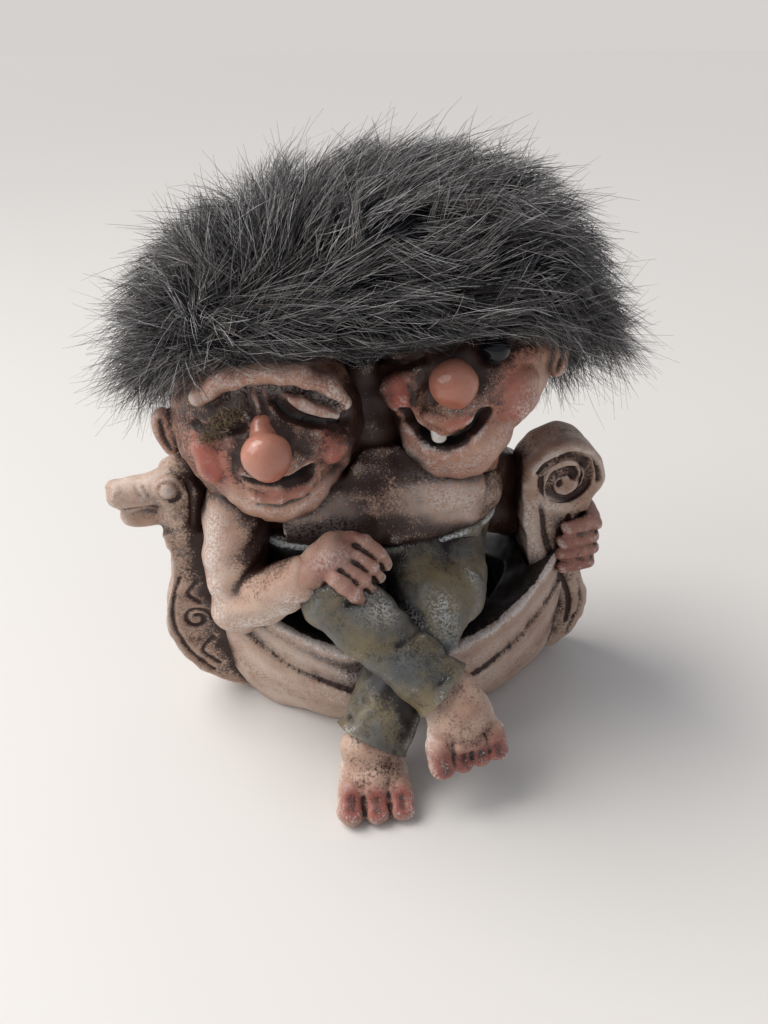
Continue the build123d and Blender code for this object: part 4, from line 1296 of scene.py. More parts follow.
@dataclass
class Head:
    """One of the two heads, in its own frame: x across, y up and z out of the face."""

    name: str
    place: Matrix
    radius: float
    jaw: Point
    jaw_radius: float
    ear_side: int

    def skull(self) -> Clay:
        """Presses together the skull, jaw, muzzle and ear."""
        clay = Clay(self.name, place=self.place, voxel=0.31, soften=4)
        clay.ball((0, 0.5, 14 - self.radius), self.radius - 0.5, (1, 1, 1))
        clay.ball(self.jaw, self.jaw_radius)
        clay.ball((0, -1.5, 8.2), 6.6, (1.1, 1, 1))
        clay.limb([(0, 0, -3), (0, -18, -5)], [8, 7.5])
        side = self.ear_side
        clay.ball((side * (self.radius + 0.4), 1.5, -1.5), 4.0, (0.55, 1.15, 0.5))
        return clay

    def finish(
        self, head: Casting, strokes: Sequence[Stroke], seed: int, pale_brow: Sequence[Point] = ()
    ) -> Casting:
        """Works the face, folds the ear's rim and gives the skin its unevenness.

        Args:
            head: The fused head.
            strokes: The passes over the face, in order.
            seed: The unevenness pattern's number.
            pale_brow: The line along which the brow is rubbed pale.

        Returns:
            The head.
        """
        for stroke in strokes:
            if stroke.brush is None:
                head.tool(stroke.path, stroke.width, stroke.force, stroke.stain, True, stroke.sharp)
            else:
                head.dab(stroke.brush, stroke.path, stroke.width, stroke.force, True, stroke.sharp)
        if pale_brow:
            head.dab(Brush.BARE_AND_HIGHLIGHT, pale_brow, 2.7, 0.8)
        side = self.ear_side
        x = side * (self.radius + 0.8)
        head.tool([(x, 4, 0.4), (x + side * 0.4, 1, 0.6), (x - side * 0.6, -2, 0.4)], 0.6, 0.6, stain=0.8)
        head.ripple(4.5, 0.2, seed)
        return head


@dataclass
class DrowsyHead(Head):
    """The viewer's left head: both eyes shut, a heavy pale brow and a sly grin."""

    strokes = (
        Stroke(smooth_path([(2.2, 9.2), (4.2, 6.4), (7.6, 4.2), (12.2, 2.0)]), 0.95, 1.4, 1.3),
        Stroke(smooth_path([(4.0, 10.2), (8.0, 8.4), (12.0, 5.2)]), 0.55, 0.7, 0.5),
        Stroke(smooth_path([(-11.0, 5.6), (-7.6, 5.4), (-3.6, 6.2)]), 0.9, 1.2, 1.2),
        dab(Brush.STAIN_AND_SHADE, [(-7, 7.5), (-2.5, 8.6)], 2.8, 0.8),
        Stroke(smooth_path([(-5.0, -2.6), (-1.6, -3.9), (2.6, -4.3), (5.8, -3.2)]), 0.6, 1.5, 1.3),
        Stroke([(1.6, -4.2), (4.6, -3.9)], 1.35, 1.9, 1.6, 3),
        Stroke(smooth_path([(-4.2, -8.4), (0, -9.0), (4.4, -8.4)]), 0.6, 0.6, 0.5),
        Stroke(smooth_path([(-5.4, 1.4), (-6.6, -1.6), (-6.0, -3.4)]), 0.8, 0.4, 0.3),
        Stroke(smooth_path([(4.4, 1.6), (6.0, -0.6), (6.8, -3.2)]), 0.8, 0.4, 0.3),
        Stroke([(-1.8, 10.4), (-1.2, 7.0)], 0.5, 0.5, 0.4),
        Stroke([(-1.8 + 1.9, 10.4), (-1.2 + 1.9, 7.0)], 0.5, 0.5, 0.4),
        dab(Brush.STAIN_AND_SHADE, [(0.5, 7.5), (3.2, 2.6), (6.0, 1.2)], 3.0, 0.62),
        dab(Brush.STAIN_AND_SHADE, [(-4.5, 3.5), (-4.0, -1.0)], 2.4, 0.62),
        dab(Brush.STAIN_AND_SHADE, [(13.2, 4), (13.4, -4)], 3.0, 0.8),
        dab(Brush.STAIN_AND_SHADE, [(-5, 6), (1, 7), (6, 2), (7, -4)], 5.0, 0.42, 4),
        dab(Brush.STAIN_AND_SHADE, [(-14, 6), (-13, -4), (-10, -9)], 2.4, 0.35),
        dab(Brush.STAIN_AND_SHADE, [(-11, 11), (-13, 5)], 2.8, 0.5),
        dab(Brush.BLUSH, [(-10.2, 3.0), (-9.4, -1.8)], 2.8, 1.05),
        dab(Brush.BLUSH, [(9.2, -1.4)], 3.0, 0.95),
        dab(Brush.BLUSH, [(-3.5, -6.4), (4, -6.6)], 1.2, 0.4),
        dab(Brush.STAIN_AND_SHADE, [(-10, 7), (-5, 7.6)], 1.8, 0.9),
        dab(Brush.BARE_AND_HIGHLIGHT, [(-7.5, -7.5), (0, -11.6), (7.5, -8.5)], 1.8, 0.6),
    )
    brow = (
        (-9.0, 10.6, 8.4),
        (-4.5, 12.8, 8.6),
        (1.0, 13.2, 8.9),
        (6.5, 11.6, 9.0),
        (10.8, 8.6, 8.8),
        (12.6, 5.6, 8.0),
    )

    def cast(self) -> Casting:
        """Casts and works the head."""
        clay = self.skull()
        clay.limb(self.brow, [1.8, 2.3, 2.4, 2.4, 2.2, 1.6], 0.8, (0, 0, 1))
        clay.ball((-9.6, 0.2, 8.2), 3.6, (0.9, 1.3, 0.9))
        clay.ball((9.2, -1.2, 8.7), 3.3)
        clay.ball((0.4, -9.0, 8.6), 4.2, (1.5, 0.9, 0.9))
        clay.limb([(-4.0, -6.2, 11.6), (0, -7.2, 12.0), (4.2, -6.6, 11.4)], [1.3, 1.5, 1.3])
        clay.limb([(4.6, 8.2, 10.4), (7.6, 6.6, 10.9), (10.4, 4.2, 9.8)], [1.2, 1.7, 1.2])
        return self.finish(clay.cast(), self.strokes, 31, self.brow[1:])


@dataclass
class MerryHead(Head):
    """The viewer's right head: one open glass eye, one wink and a wide one-toothed smile."""

    smile = smooth_path([(-8.9, -5.4), (-6.6, -8.6), (-2.4, -10.2), (1.8, -8.4), (4.4, -5.0)])
    strokes = (
        Stroke([(5.6, 5.8)], 2.9, 1.5, 1.2, 3),
        Stroke(smooth_path([(2.4, 6.4), (5.6, 8.4), (9.4, 6.6)]), 0.8, 0.5, 1.0),
        Stroke(smooth_path([(-12.6, 3.0), (-9.4, 2.6), (-5.8, 4.4)]), 0.9, 1.1, 1.2),
        dab(Brush.STAIN_AND_SHADE, [(-12, 7.5), (-6, 8), (0, 8.5), (6, 9.6), (11, 9)], 4.6, 1.0, 4),
        Stroke(smile, 0.95, 2.3, 1.5, 3),
        Stroke(smile[7:17], 1.5, 1.2, 1.6, 3),
        Stroke(smooth_path([(-5.6, 1.6), (-6.6, -1.6), (-7.4, -4)]), 0.8, 0.4, 0.3),
        Stroke(smooth_path([(4.0, 1.6), (5.2, -1.0), (5.4, -3.0)]), 0.8, 0.3, 0.2),
        dab(Brush.STAIN_AND_SHADE, [(-4.6, 3.6), (-4.4, -2.4)], 1.8, 0.75),
        dab(Brush.STAIN_AND_SHADE, [(3.8, 2.4), (3.6, -2.0)], 1.2, 0.6),
        dab(Brush.STAIN_AND_SHADE, [(-13.4, 2), (-13.2, -8), (-9, -14)], 2.8, 0.8),
        dab(Brush.STAIN_AND_SHADE, [(-6, 3), (0, 5), (5, 3)], 4.0, 0.6, 4),
        dab(Brush.STAIN_AND_SHADE, [(-5.5, -2.5), (3.5, -3.0)], 2.6, 0.4, 4),
        dab(Brush.BLUSH, [(-9.6, -1.0), (-9.2, -3.8)], 2.6, 1.0),
        dab(Brush.BLUSH, [(8.6, 1.0), (8.8, -4.4)], 3.4, 0.6),
        dab(Brush.BLUSH, [(-1.2, -6.0), (1.4, -5.4)], 1.3, 0.7),
        dab(Brush.BARE_AND_HIGHLIGHT, smooth_path([(-8, -12.4), (-2, -15.4), (5, -12.6), (10, -7), (12, -2)]), 2.2, 0.6),
    )

    def cast(self) -> Casting:
        """Casts and works the head."""
        clay = self.skull()
        brow = [(-11.5, 7.6, 8.2), (-5, 9.6, 9.8), (0, 8.6, 10.6), (5, 9.4, 9.8), (11, 7.4, 8.0)]
        clay.limb(brow, [1.8, 2.2, 1.7, 2.2, 1.8])
        clay.ball((-9.4, -2.0, 8.0), 3.8)
        clay.ball((8.6, -2.4, 7.5), 4.6, (1, 1.2, 1))
        clay.ball((-1.0, -14.6, 5.4), 4.8, (1.5, 0.9, 0.9))
        clay.limb([(-4.4, -5.2, 11.4), (-1.4, -6.2, 12.4), (1.8, -5.2, 12.4)], [1.4, 1.7, 1.4])
        return self.finish(clay.cast(), self.strokes, 32)


@dataclass
class Noses:
    """The two glossy round noses."""

    radius: float = 3.85
    bridge_radii: tuple[float, float] = (2.9, 1.8)

    def nose(self, name: str, place: Matrix, middle: Point, bridge: float, seed: int) -> Casting:
        """Casts one nose with a short bridge.

        Args:
            name: The nose's name.
            place: Its head's frame.
            middle: The nose's middle.
            bridge: How far the bridge runs up the face.
            seed: The unevenness pattern's number.

        Returns:
            The casting.
        """
        x, y, z = middle
        clay = Clay(name, place=place, voxel=0.27, soften=4)
        clay.ball(middle, self.radius, (1.0, 1.02, 0.95))
        clay.limb([(x, y + 0.6, z - 1.6), (x, y + bridge, z - 3.9)], self.bridge_radii)
        nose = clay.cast()
        nose.dab(Brush.BLUSH, [(x, y - 2.8, z + 1.5)], 2.6, 0.7)
        nose.ripple(5.0, 0.14, seed)
        return nose


@dataclass
class FurWig:
    """One fur wig over both heads: a dark pelt and tens of thousands of tapering fibres."""

    bundles: int = 8
    fibres: int = 5000
    points: int = 5
    locks: int = 1500
    pelt_depth: float = 4.0
    middle: float = -2.5
    whorl: Point = (-30.0, -17.0, 86.0)
    root_radius: float = 0.067
    tip_share: float = 0.25
    half_span: float = 42.0
    lengths: tuple[float, float] = (8.0, 14.0)
    stray_share: float = 0.08
    hairline: float = 82.5
    hairline_fall: float = 0.5326
    tuft_fibres: int = 170
    seed: int = 77
    outer: BVHTree | None = None

    def pelt(self) -> tuple[bpy.types.Mesh, np.ndarray, np.ndarray]:
        """Casts the pelt that the fibres grow from.

        Returns:
            The pelt's mesh, and root places with their outward directions.
        """
        clay = Clay("fur_pelt", voxel=0.8, soften=8)
        clay.node("fur_pile")
        pelt = clay.cast()
        self.outer = tree_of(pelt.mesh)
        pelt.normals = pelt.spread(pelt.normals, 12)
        pelt.normals /= np.linalg.norm(pelt.normals, axis=1)[:, None]
        depth = self.pelt_depth * (0.3 + 0.7 * np.clip(pelt.normals[:, 2] + 0.7, 0, 1))
        pelt.points -= pelt.normals * depth[:, None]
        pelt.points = pelt.spread(pelt.points, 10)
        pelt.settle()
        pelt.mesh.calc_loop_triangles()
        corners = np.empty(len(pelt.mesh.loop_triangles) * 3, dtype=int)
        pelt.mesh.loop_triangles.foreach_get("vertices", corners)
        corners = corners.reshape(-1, 3)
        a, b, c = (pelt.points[corners[:, i]] for i in range(3))
        area = np.linalg.norm(np.cross(b - a, c - a), axis=1)
        whorl = np.linalg.norm((a + b + c) / 3 - np.array(self.whorl), axis=1)
        area *= 1 + 2.5 * np.exp(-((whorl / 8.0) ** 2))
        draw = np.random.default_rng(self.seed)
        chosen = draw.choice(len(corners), size=self.bundles * self.fibres, p=area / area.sum())
        u, v = draw.random(len(chosen)), draw.random(len(chosen))
        flip = u + v > 1
        u, v = np.where(flip, 1 - u, u), np.where(flip, 1 - v, v)
        roots = a[chosen] + (b - a)[chosen] * u[:, None] + (c - a)[chosen] * v[:, None]
        outward = np.cross(b - a, c - a)[chosen]
        outward /= np.linalg.norm(outward, axis=1)[:, None]
        return pelt.mesh, roots, outward

    def waves(self, places: np.ndarray, size: float, seed: int) -> np.ndarray:
        """Gives smooth random directions over space.

        Args:
            places: Where to read them.
            size: The pattern's length.
            seed: The pattern's number.

        Returns:
            One vector for each place, about 1 long.
        """
        draw = np.random.default_rng(seed)
        field_value = np.zeros_like(places)
        for _ in range(7):
            wave = draw.normal(size=3)
            wave *= 2 * math.pi / (size * draw.uniform(0.6, 1.7)) / np.linalg.norm(wave)
            field_value += np.outer(np.sin(places @ wave + draw.uniform(0, math.tau)), draw.normal(size=3))
        return field_value / 3.0

    def flow(self, roots: np.ndarray, outward: np.ndarray) -> np.ndarray:
        """Gives the direction that the fur is brushed at each root.

        Args:
            roots: The fibres' roots.
            outward: The pelt's outward directions there.

        Returns:
            Directions along the pelt, standing up where the brushed directions part.
        """
        side = (roots[:, 0] - self.middle) / self.half_span
        front = np.clip(-outward[:, 1] * 1.3, 0, 1)
        back = np.clip(outward[:, 1] * 1.3, 0, 1)
        fringe = front * np.clip((90 - roots[:, 2]) / 7, 0, 1)
        across = np.interp(side, (-1, -0.55, -0.25, 0.2, 0.6, 1), (-1, -0.9, 0.6, 0.9, 0.95, 0.8))
        rise = np.interp(side, (-1, -0.5, -0.2, 0.25, 0.6, 1), (0.1, 0.5, 0.6, 0.35, -0.35, -0.9))
        rise -= np.clip(-side - 0.5, 0, 1) * np.clip((84 - roots[:, 2]) / 8, 0, 2)
        swept = np.interp(side, (-1, -0.85, -0.68, 1), (-1, -0.5, 0.8, 0.9))
        across = across * (1 - fringe) + swept * fringe
        rise = rise * (1 - fringe) - (0.15 + 0.6 * (1 - np.abs(swept))) * fringe
        brushed = np.stack([across, 0.5 * (1 - front), rise], axis=1) * (1 - back)[:, None]
        brushed += np.stack([side * 0.9, np.zeros_like(side), -np.ones_like(side)], axis=1) * back[:, None]
        brushed += self.waves(roots, 18.0, 5) * 0.3 + self.waves(roots, 6.0, 6) * 0.3
        brushed -= outward * np.einsum("ij,ij->i", brushed, outward)[:, None]
        strength = np.linalg.norm(brushed, axis=1)[:, None]
        return brushed / np.maximum(strength, 1e-6) + outward * 0.7 * np.exp(-((strength / 0.4) ** 2))

    def nearest_lock(self, roots: np.ndarray, locks: np.ndarray) -> np.ndarray:
        """Finds the lock that each root belongs to."""
        nearest = np.empty(len(roots), dtype=int)
        for part in np.array_split(np.arange(len(roots)), 60):
            gaps = roots[part][:, None] - roots[locks][None]
            nearest[part] = np.einsum("ijk,ijk->ij", gaps, gaps).argmin(axis=1)
        return nearest

    def fibres_from(self, roots: np.ndarray, outward: np.ndarray) -> tuple[np.ndarray, np.ndarray]:
        """Grows the fibres.

        Args:
            roots: The fibres' roots.
            outward: The pelt's outward directions there.

        Returns:
            The fibres' points, and each fibre's tone and warmth.
        """
        draw = np.random.default_rng(self.seed + 1)
        count = len(roots)
        locks = draw.choice(count, size=self.locks, replace=False)
        lock = self.nearest_lock(roots, locks)
        lock_turn = draw.normal(size=(self.locks, 3)) * 0.5
        lock_lift = draw.beta(1.4, 2.6, self.locks) * 0.6
        lock_tone = draw.normal(size=self.locks) * 0.16
        flow = self.flow(roots, outward)
        upper = np.clip((roots[:, 2] - 88) / 10, 0, 1)
        lift = 0.12 + lock_lift[lock] + draw.normal(size=count) * 0.08 + upper * draw.uniform(0, 0.45, count)
        stray = draw.random(count) < self.stray_share
        length = draw.uniform(*self.lengths, count) + stray * draw.uniform(1.0, 5.0, count)
        low_side = np.clip((np.abs(roots[:, 0] - self.middle) - 24) / 8, 0, 1) * (roots[:, 2] < 84)
        length *= 1 + low_side * draw.uniform(0, 0.5, count)
        start = flow + outward * lift[:, None] + lock_turn[lock] + draw.normal(size=(count, 3)) * 0.13
        start += outward * (stray * draw.uniform(0.1, 0.7, count))[:, None]
        start /= np.linalg.norm(start, axis=1)[:, None]
        bend = flow * 0.3 - outward * 0.3 + self.waves(roots, 3.0, 9) * 0.15
        bend += draw.normal(size=(count, 3)) * 0.2
        gather = (roots[locks][lock] - roots) * 0.45
        fibres = np.zeros((count, self.points, 3))
        for index, t in enumerate(np.linspace(0, 1, self.points)):
            fibres[:, index] = (start * t + bend * t**2 * 0.5) * length[:, None] + gather * t**1.5
        height = np.einsum("ijk,ik->ij", fibres, outward)
        limit = self.pelt_depth - 2.2 + lock_lift[lock] * 6 + draw.gamma(1.2, 0.8, count)
        limit += stray * draw.uniform(0, 6.0, count)
        share = np.minimum(1, limit / np.maximum(height.max(axis=1), 1e-6))
        fibres -= outward[:, None, :] * (height * (1 - share[:, None]))[:, :, None]
        fibres += roots[:, None, :]
        fibres[:, 0] -= outward * 0.8
        fibres = self.keep_close(fibres, stray, draw)
        fibres = self.trim_fringe(fibres, draw)
        # Fibres rooted high on the crown get paler tones: painted highlight where light catches the top of
        # the fur.
        tone = np.clip(draw.beta(1.05, 1.9, count) + upper * 0.3 + lock_tone[lock], 0, 1)
        warm = draw.random(count) ** 2 * 0.6 + np.abs(roots[:, 0] - self.middle) / self.half_span * 0.7 - 0.2
        warm = np.clip(warm, 0, 1)
        return fibres, np.stack([tone, warm], axis=1)

    def outside(self, places: np.ndarray) -> np.ndarray:
        """Measures how far places stand outside the fur's outer shape; inside is negative."""
        gaps = np.zeros(len(places))
        for index, place in enumerate(places.tolist()):
            spot, normal, _, _ = self.outer.find_nearest(place)
            gaps[index] = (Vector(place) - spot).dot(normal)
        return gaps

    def keep_close(self, fibres: np.ndarray, stray: np.ndarray, draw: np.random.Generator) -> np.ndarray:
        """Shortens the fibres that stand too far outside the fur's outer shape.

        Args:
            fibres: The fibres' points.
            stray: Which fibres may stand further out.
            draw: The random source.

        Returns:
            The shortened fibres.
        """
        root, tip = self.outside(fibres[:, 0]), self.outside(fibres[:, -1])
        limit = draw.gamma(1.3, 1.0, len(fibres)) + stray * draw.uniform(0, 6.5, len(fibres))
        sides = np.clip((np.abs(fibres[:, 0, 0] - self.middle) - 23) / 8, 0, 1) * (fibres[:, 0, 2] < 86)
        hanging = np.clip((fibres[:, 0, 2] - fibres[:, -1, 2]) / 8, 0, 1)
        limit += sides * (1.5 + 9.0 * hanging) * draw.uniform(0, 1, len(fibres))
        share = np.clip((limit - root) / np.maximum(tip - root, 1e-3), 0.25, 1)
        share = np.where(tip > limit, share, 1)
        base = fibres[:, :1]
        return base + (fibres - base) * share[:, None, None]

    def trim_fringe(self, fibres: np.ndarray, draw: np.random.Generator) -> np.ndarray:
        """Keeps the fibres above the hairline, lower towards both sides.

        Args:
            fibres: The fibres' points.
            draw: The random source.

        Returns:
            The trimmed fibres.
        """
        x, y, z = np.moveaxis(fibres, 2, 0)
        places = (-45, -34, -28, -23, -8, 4, 10, 16, 20, 24, 28, 38)
        drops = (12, 14, 10, 2, 0.8, -0.3, -3.4, -3.8, -1.0, 8, 16, 17)
        drop = np.interp(x, places, drops) + np.clip(y - 4, 0, 12) * 0.5
        drop = drop * draw.uniform(0.3, 1.15, len(fibres))[:, None]
        drop += draw.gamma(1.0, 0.8, len(fibres))[:, None] * (drop > -2)
        lowest = self.hairline - (y + 23) * self.hairline_fall - drop
        under = np.clip(lowest - z, 0, None)
        fibres[:, :, 2] = z + under * 0.92
        return fibres

    def clump(self, place: Matrix) -> tuple[np.ndarray, np.ndarray]:
        """Grows the small matted clump at the left head's temple.

        Args:
            place: The left head's frame.

        Returns:
            The clump's fibres, and each fibre's tone and warmth.
        """
        draw = np.random.default_rng(self.seed + 2)
        count = self.tuft_fibres
        spots = ((-9.6, 4.2, 10.6), (-6.4, 7.2, 11.0), (-3.4, 8.4, 11.2))
        spine = np.array([place @ Vector(spot) for spot in spots])
        along = draw.random(count)
        leg = np.where(along < 0.5, 0, 1)
        part = (along * 2 - leg)[:, None]
        roots = spine[leg] * (1 - part) + spine[leg + 1] * part + draw.normal(size=(count, 3)) * 0.34
        curl = draw.normal(size=(count, 3)) * 0.9
        twist = draw.normal(size=(count, 3)) * 0.9
        steps = np.linspace(0, 1, self.points)
        fibres = [roots + curl * t + twist * math.sin(t * 4.2) for t in steps]
        return np.stack(fibres, axis=1), draw.random((count, 2))

    def bundle(self, name: str, curves: np.ndarray, tones: np.ndarray) -> bpy.types.Mesh:
        """Turns one bundle of fibres into three-sided tapering tubes.

        Args:
            name: The bundle's name.
            curves: The fibres' points.
            tones: Each fibre's tone and warmth.

        Returns:
            The bundle's mesh in metres.
        """
        ring = bpy.data.curves.new("fibre_section", "CURVE")
        ring.dimensions = "2D"
        section = ring.splines.new("POLY")
        section.points.add(2)
        for index, corner in enumerate(section.points):
            angle = -index / 3 * math.tau
            corner.co = (math.cos(angle), math.sin(angle), 0, 1)
        section.use_cyclic_u = True
        ring_holder = held("fibre_section", ring)
        curve = bpy.data.curves.new(name, "CURVE")
        curve.dimensions = "3D"
        curve.bevel_mode = "OBJECT"
        curve.bevel_object = ring_holder
        curve.use_fill_caps = True
        thickness = np.linspace(1, self.tip_share, self.points) * self.root_radius
        for fibre in curves:
            spline = curve.splines.new("POLY")
            spline.points.add(self.points - 1)
            spline.points.foreach_set("co", np.column_stack([fibre, np.ones(self.points)]).ravel())
            spline.points.foreach_set("radius", thickness)
        holder = held(name, curve)
        ready = bpy.context.evaluated_depsgraph_get()
        mesh = bpy.data.meshes.new_from_object(holder.evaluated_get(ready))
        bpy.data.objects.remove(holder)
        bpy.data.objects.remove(ring_holder)
        bpy.data.curves.remove(curve)
        bpy.data.curves.remove(ring)
        mesh.name = name
        shape = bmesh.new()
        shape.from_mesh(mesh)
        bmesh.ops.recalc_face_normals(shape, faces=shape.faces)
        shape.to_mesh(mesh)
        shape.free()
        count = len(mesh.vertices)
        per_fibre = count // len(curves)
        along = np.tile(np.repeat(np.linspace(0, 1, self.points), per_fibre // self.points), len(curves))
        values = np.ones((count, 4))
        values[: len(along), 0] = along
        values[: per_fibre * len(curves), 1] = np.repeat(tones[:, 0], per_fibre)
        values[: per_fibre * len(curves), 2] = np.repeat(tones[:, 1], per_fibre)
        write_colours(mesh, "fibre", values)
        mesh.transform(TO_METRES)
        return mesh

    def build(
        self, fur: bpy.types.Material, hide: bpy.types.Material, matted: bpy.types.Material, temple: Matrix
    ) -> list[bpy.types.Object]:
        """Builds the pelt, every bundle of fibres and the matted clump.

        Args:
            fur: The fibres' material.
            hide: The pelt's material.
            matted: The clump's material.
            temple: The left head's frame.

        Returns:
            The wig's pieces.
        """
        pelt_mesh, roots, outward = self.pelt()
        curves, tones = self.fibres_from(roots, outward)
        pelt_mesh.transform(TO_METRES)
        pieces = [object_of("fur_pelt", pelt_mesh, hide)]
        for index in range(self.bundles):
            part = slice(index * self.fibres, (index + 1) * self.fibres)
            name = f"fur_bundle_{index + 1}"
            pieces.append(object_of(name, self.bundle(name, curves[part], tones[part]), fur))
        pieces.append(object_of("temple_clump", self.bundle("temple_clump", *self.clump(temple)), matted))
        return pieces


def write_colours(mesh: bpy.types.Mesh, name: str, values: np.ndarray) -> None:
    """Writes one colour for each point of a mesh.

    Args:
        mesh: The mesh.
        name: The attribute's name.
        values: Rows of four numbers.
    """
    attribute = mesh.color_attributes.new(name, "FLOAT_COLOR", "POINT")
    attribute.data.foreach_set("color", values.ravel())


@dataclass
class Studio:
    """The plain floor, the soft lights and the camera at the photograph's angle."""

    lens: float = 27.07
    camera: Point = (-21.5, -123.1, 120.0)
    yaw: float = 9.0
    pitch: float = 33.0
    floor_reach: float = 3.0
    floor_tint: Colour = (0.72, 0.70, 0.67)
    sky: Colour = (0.34, 0.35, 0.38)
    backdrop: Colour = (0.66, 0.64, 0.62)
    sun_spread: float = 38.0
    sun_power: float = 2.3
    window_power: float = 1.2

    def build(self) -> None:
        """Builds the floor, the lights and the camera."""
        self.floor()
        self.lights()
        self.eye()

    def floor(self) -> None:
        """Lays a wide pale floor under the figure."""
        shape = bmesh.new()
        bmesh.ops.create_grid(shape, x_segments=2, y_segments=2, size=self.floor_reach)
        mesh = bpy.data.meshes.new("floor")
        shape.to_mesh(mesh)
        shape.free()
        material, bench, shader = blank_material("floor")
        bench.preset(shader, {"Base Color": rgba(self.floor_tint), "Roughness": 0.6})
        mesh.materials.append(material)
        floor = held("floor", mesh)

    def lights(self) -> None:
        """Hangs the soft lights and sets the pale surroundings."""
        world = bpy.data.worlds.new("studio")
        bpy.context.scene.world = world
        world.use_nodes = True
        bench = NodeBench(world.node_tree)
        backdrop = world.node_tree.nodes["Background"]
        seen = bench.add("ShaderNodeLightPath").outputs["Is Camera Ray"]
        sky = bench.mix(seen, rgba(self.sky), rgba(self.backdrop))
        bench.preset(backdrop, {"Color": sky, "Strength": 1.0})
        daylight = bpy.data.lights.new("daylight", "SUN")
        daylight.angle = math.radians(self.sun_spread)
        daylight.energy = self.sun_power
        daylight.color = (1.0, 0.965, 0.925)
        window = bpy.data.lights.new("window", "AREA")
        window.size = 0.35
        window.energy = self.window_power
        for lamp, place in ((daylight, (-0.40, 0.22, 0.75)), (window, (-0.42, -0.05, 0.36))):
            holder = held(lamp.name, lamp)
            holder.location = place
            aim = Vector((0, 0, 0.05)) - Vector(place)
            holder.rotation_euler = aim.to_track_quat("-Z", "Y").to_euler()

    def eye(self) -> None:
        """Places the camera."""
        camera = bpy.data.cameras.new("camera")
        camera.lens = self.lens
        camera.clip_start = 0.005
        holder = held("camera", camera)
        holder.location = Vector(self.camera) / METRE
        yaw, pitch = math.radians(self.yaw), math.radians(self.pitch)
        gaze = Vector(
            (math.sin(yaw) * math.cos(pitch), math.cos(yaw) * math.cos(pitch), -math.sin(pitch))
        )
        holder.rotation_euler = gaze.to_track_quat("-Z", "Y").to_euler()
        bpy.context.scene.camera = holder


def finish_castings(
    castings: Sequence[Casting], looks: Sequence[tuple[bpy.types.Material, str, Sequence[str]]]
) -> None:
    """Settles the castings, works out their rubbing, wash and painted shade, and dresses them.

    Args:
        castings: Every casting.
        looks: Each material, a slot name that is not used, and the castings that take it.
    """
    worn = {name: (material, slot) for material, slot, names in looks for name in names}
    for casting in castings:
        casting.settle()
    crevices = Crevices(castings)
    for casting in castings:
        wear_and_shade = crevices.wear_and_shade(casting)
        solid = np.ones((len(casting.points), 1))
        write_colours(casting.mesh, "wear_and_shade", np.hstack([wear_and_shade, solid]))
        write_colours(casting.mesh, "paint", np.hstack([np.clip(casting.paint, 0, 1.5), solid]))
        casting.mesh.transform(TO_METRES)
        material, slot = worn[casting.name]
        piece = object_of(f"{casting.name}_casting", casting.mesh, material)
        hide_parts(casting.name, *FUSED.get(casting.name, ()))


def small_piece(clay: Clay, node: str, material: bpy.types.Material) -> None:
    """Casts a small piece and dresses it.

    Args:
        clay: Its forms, under the piece's name.
        node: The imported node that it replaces.
        material: Its material.
    """
    casting = clay.cast()
    casting.mesh.transform(TO_METRES)
    piece = object_of(clay.name, casting.mesh, material)
    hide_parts(node)


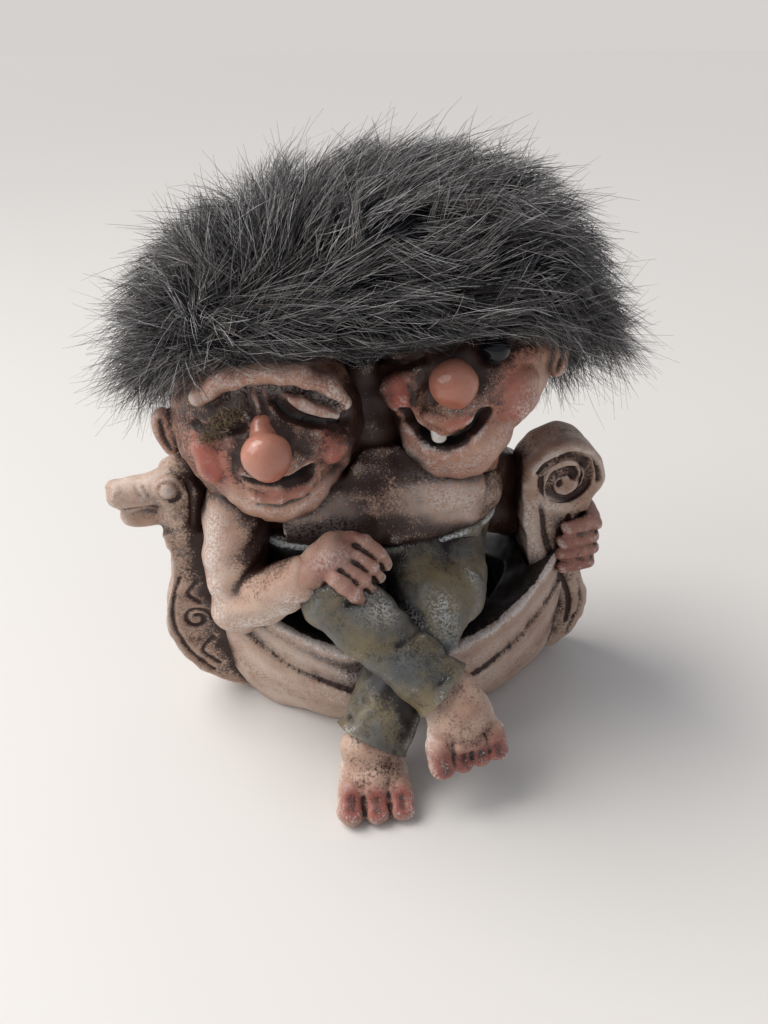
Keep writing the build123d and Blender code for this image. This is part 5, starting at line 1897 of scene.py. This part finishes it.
def main() -> None:
    """Builds the figure, then the studio round it."""
    logging.basicConfig(level=logging.INFO, format="%(message)s")
    bpy.context.scene.view_settings.view_transform = "Standard"
    group = paint_and_shade_group()
    left = aimed((-22.2, -4.0, 61.5), 0.0, 0.0, 7.0)
    right = aimed((10.8, -2.0, 69.5), -15.0, -6.0, 3.0)
    noses = Noses()
    castings = Ship().build() + Body().build()
    castings.append(DrowsyHead("left_head", left, 16.8, (0, -5.5, 2.5), 10.8, -1).cast())
    castings.append(MerryHead("right_head", right, 16.2, (-0.8, -8.6, 2.2), 10.6, 1).cast())
    castings.append(noses.nose("left_nose", left, (-0.6, 2.2, 15.4), 3.4, 41))
    castings.append(noses.nose("right_nose", right, (-0.6, 1.2, 15.6), 1.6, 42))
    skin, face, hull = (finish.build(group) for finish in (SKIN, FACE, HULL))
    trousers, nose = TROUSERS.build(group), NOSE.build(group)
    finish_castings(
        castings,
        (
            (hull, "hull_paint", ("hull", "prow_post", "stern_post")),
            (trousers, "trouser_paint", ("trouser_seat", "crossed_leg", "under_leg")),
            (skin, "skin_paint", ("torso", "resting_arm", "resting_hand", "gripping_arm", "gripping_hand")),
            (skin, "skin_paint", ("crossed_foot", "under_foot")),
            (face, "skin_paint", ("left_head", "right_head")),
            (nose, "nose_paint", ("left_nose", "right_nose")),
        ),
    )

    glass = plain_material("eye_glass", (0.003, 0.003, 0.004), (0.006, 0.008, 0.012), 0.06, 0.25, 300.0)
    ivory = plain_material("tooth", (0.78, 0.74, 0.70), (0.62, 0.56, 0.52), 0.2, 0.6, 500.0)
    eye = Clay("glass_eye_bead", place=right, voxel=0.2, soften=2)
    eye.ball((5.6, 5.5, 11.5), 2.5)
    small_piece(eye, "glass_eye", glass)
    tooth = Clay("single_tooth", place=right, voxel=0.2, soften=3)
    tooth.limb([(-3.2, -7.2, 11.2), (-3.1, -9.2, 11.3)], [1.45, 1.3], 0.75)
    small_piece(tooth, "tooth", ivory)

    cloth = plain_material("backing", (0.007, 0.007, 0.009), (0.016, 0.016, 0.019), 0.9, 0.0, 900.0)
    grey_roots = ((0.005, 0.006, 0.010), (0.026, 0.027, 0.033))
    # The palest tips are silver fibres and also stand in for glints: painted highlight.
    grey_tips = ((0.026, 0.029, 0.040), (0.82, 0.81, 0.80))
    grey = fur_material("fur", grey_roots, grey_tips, (0.26, 0.19, 0.135))
    tan_roots = ((0.05, 0.032, 0.02), (0.20, 0.14, 0.08))
    tan_tips = ((0.16, 0.105, 0.055), (0.56, 0.46, 0.33))
    matted = fur_material("matted_fur", tan_roots, tan_tips, (0.33, 0.21, 0.11))
    wig = FurWig().build(grey, cloth, matted, left)
    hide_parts("wig_backing", "fur_pile")
    Studio().build()


if __name__ == "__main__":
    main()
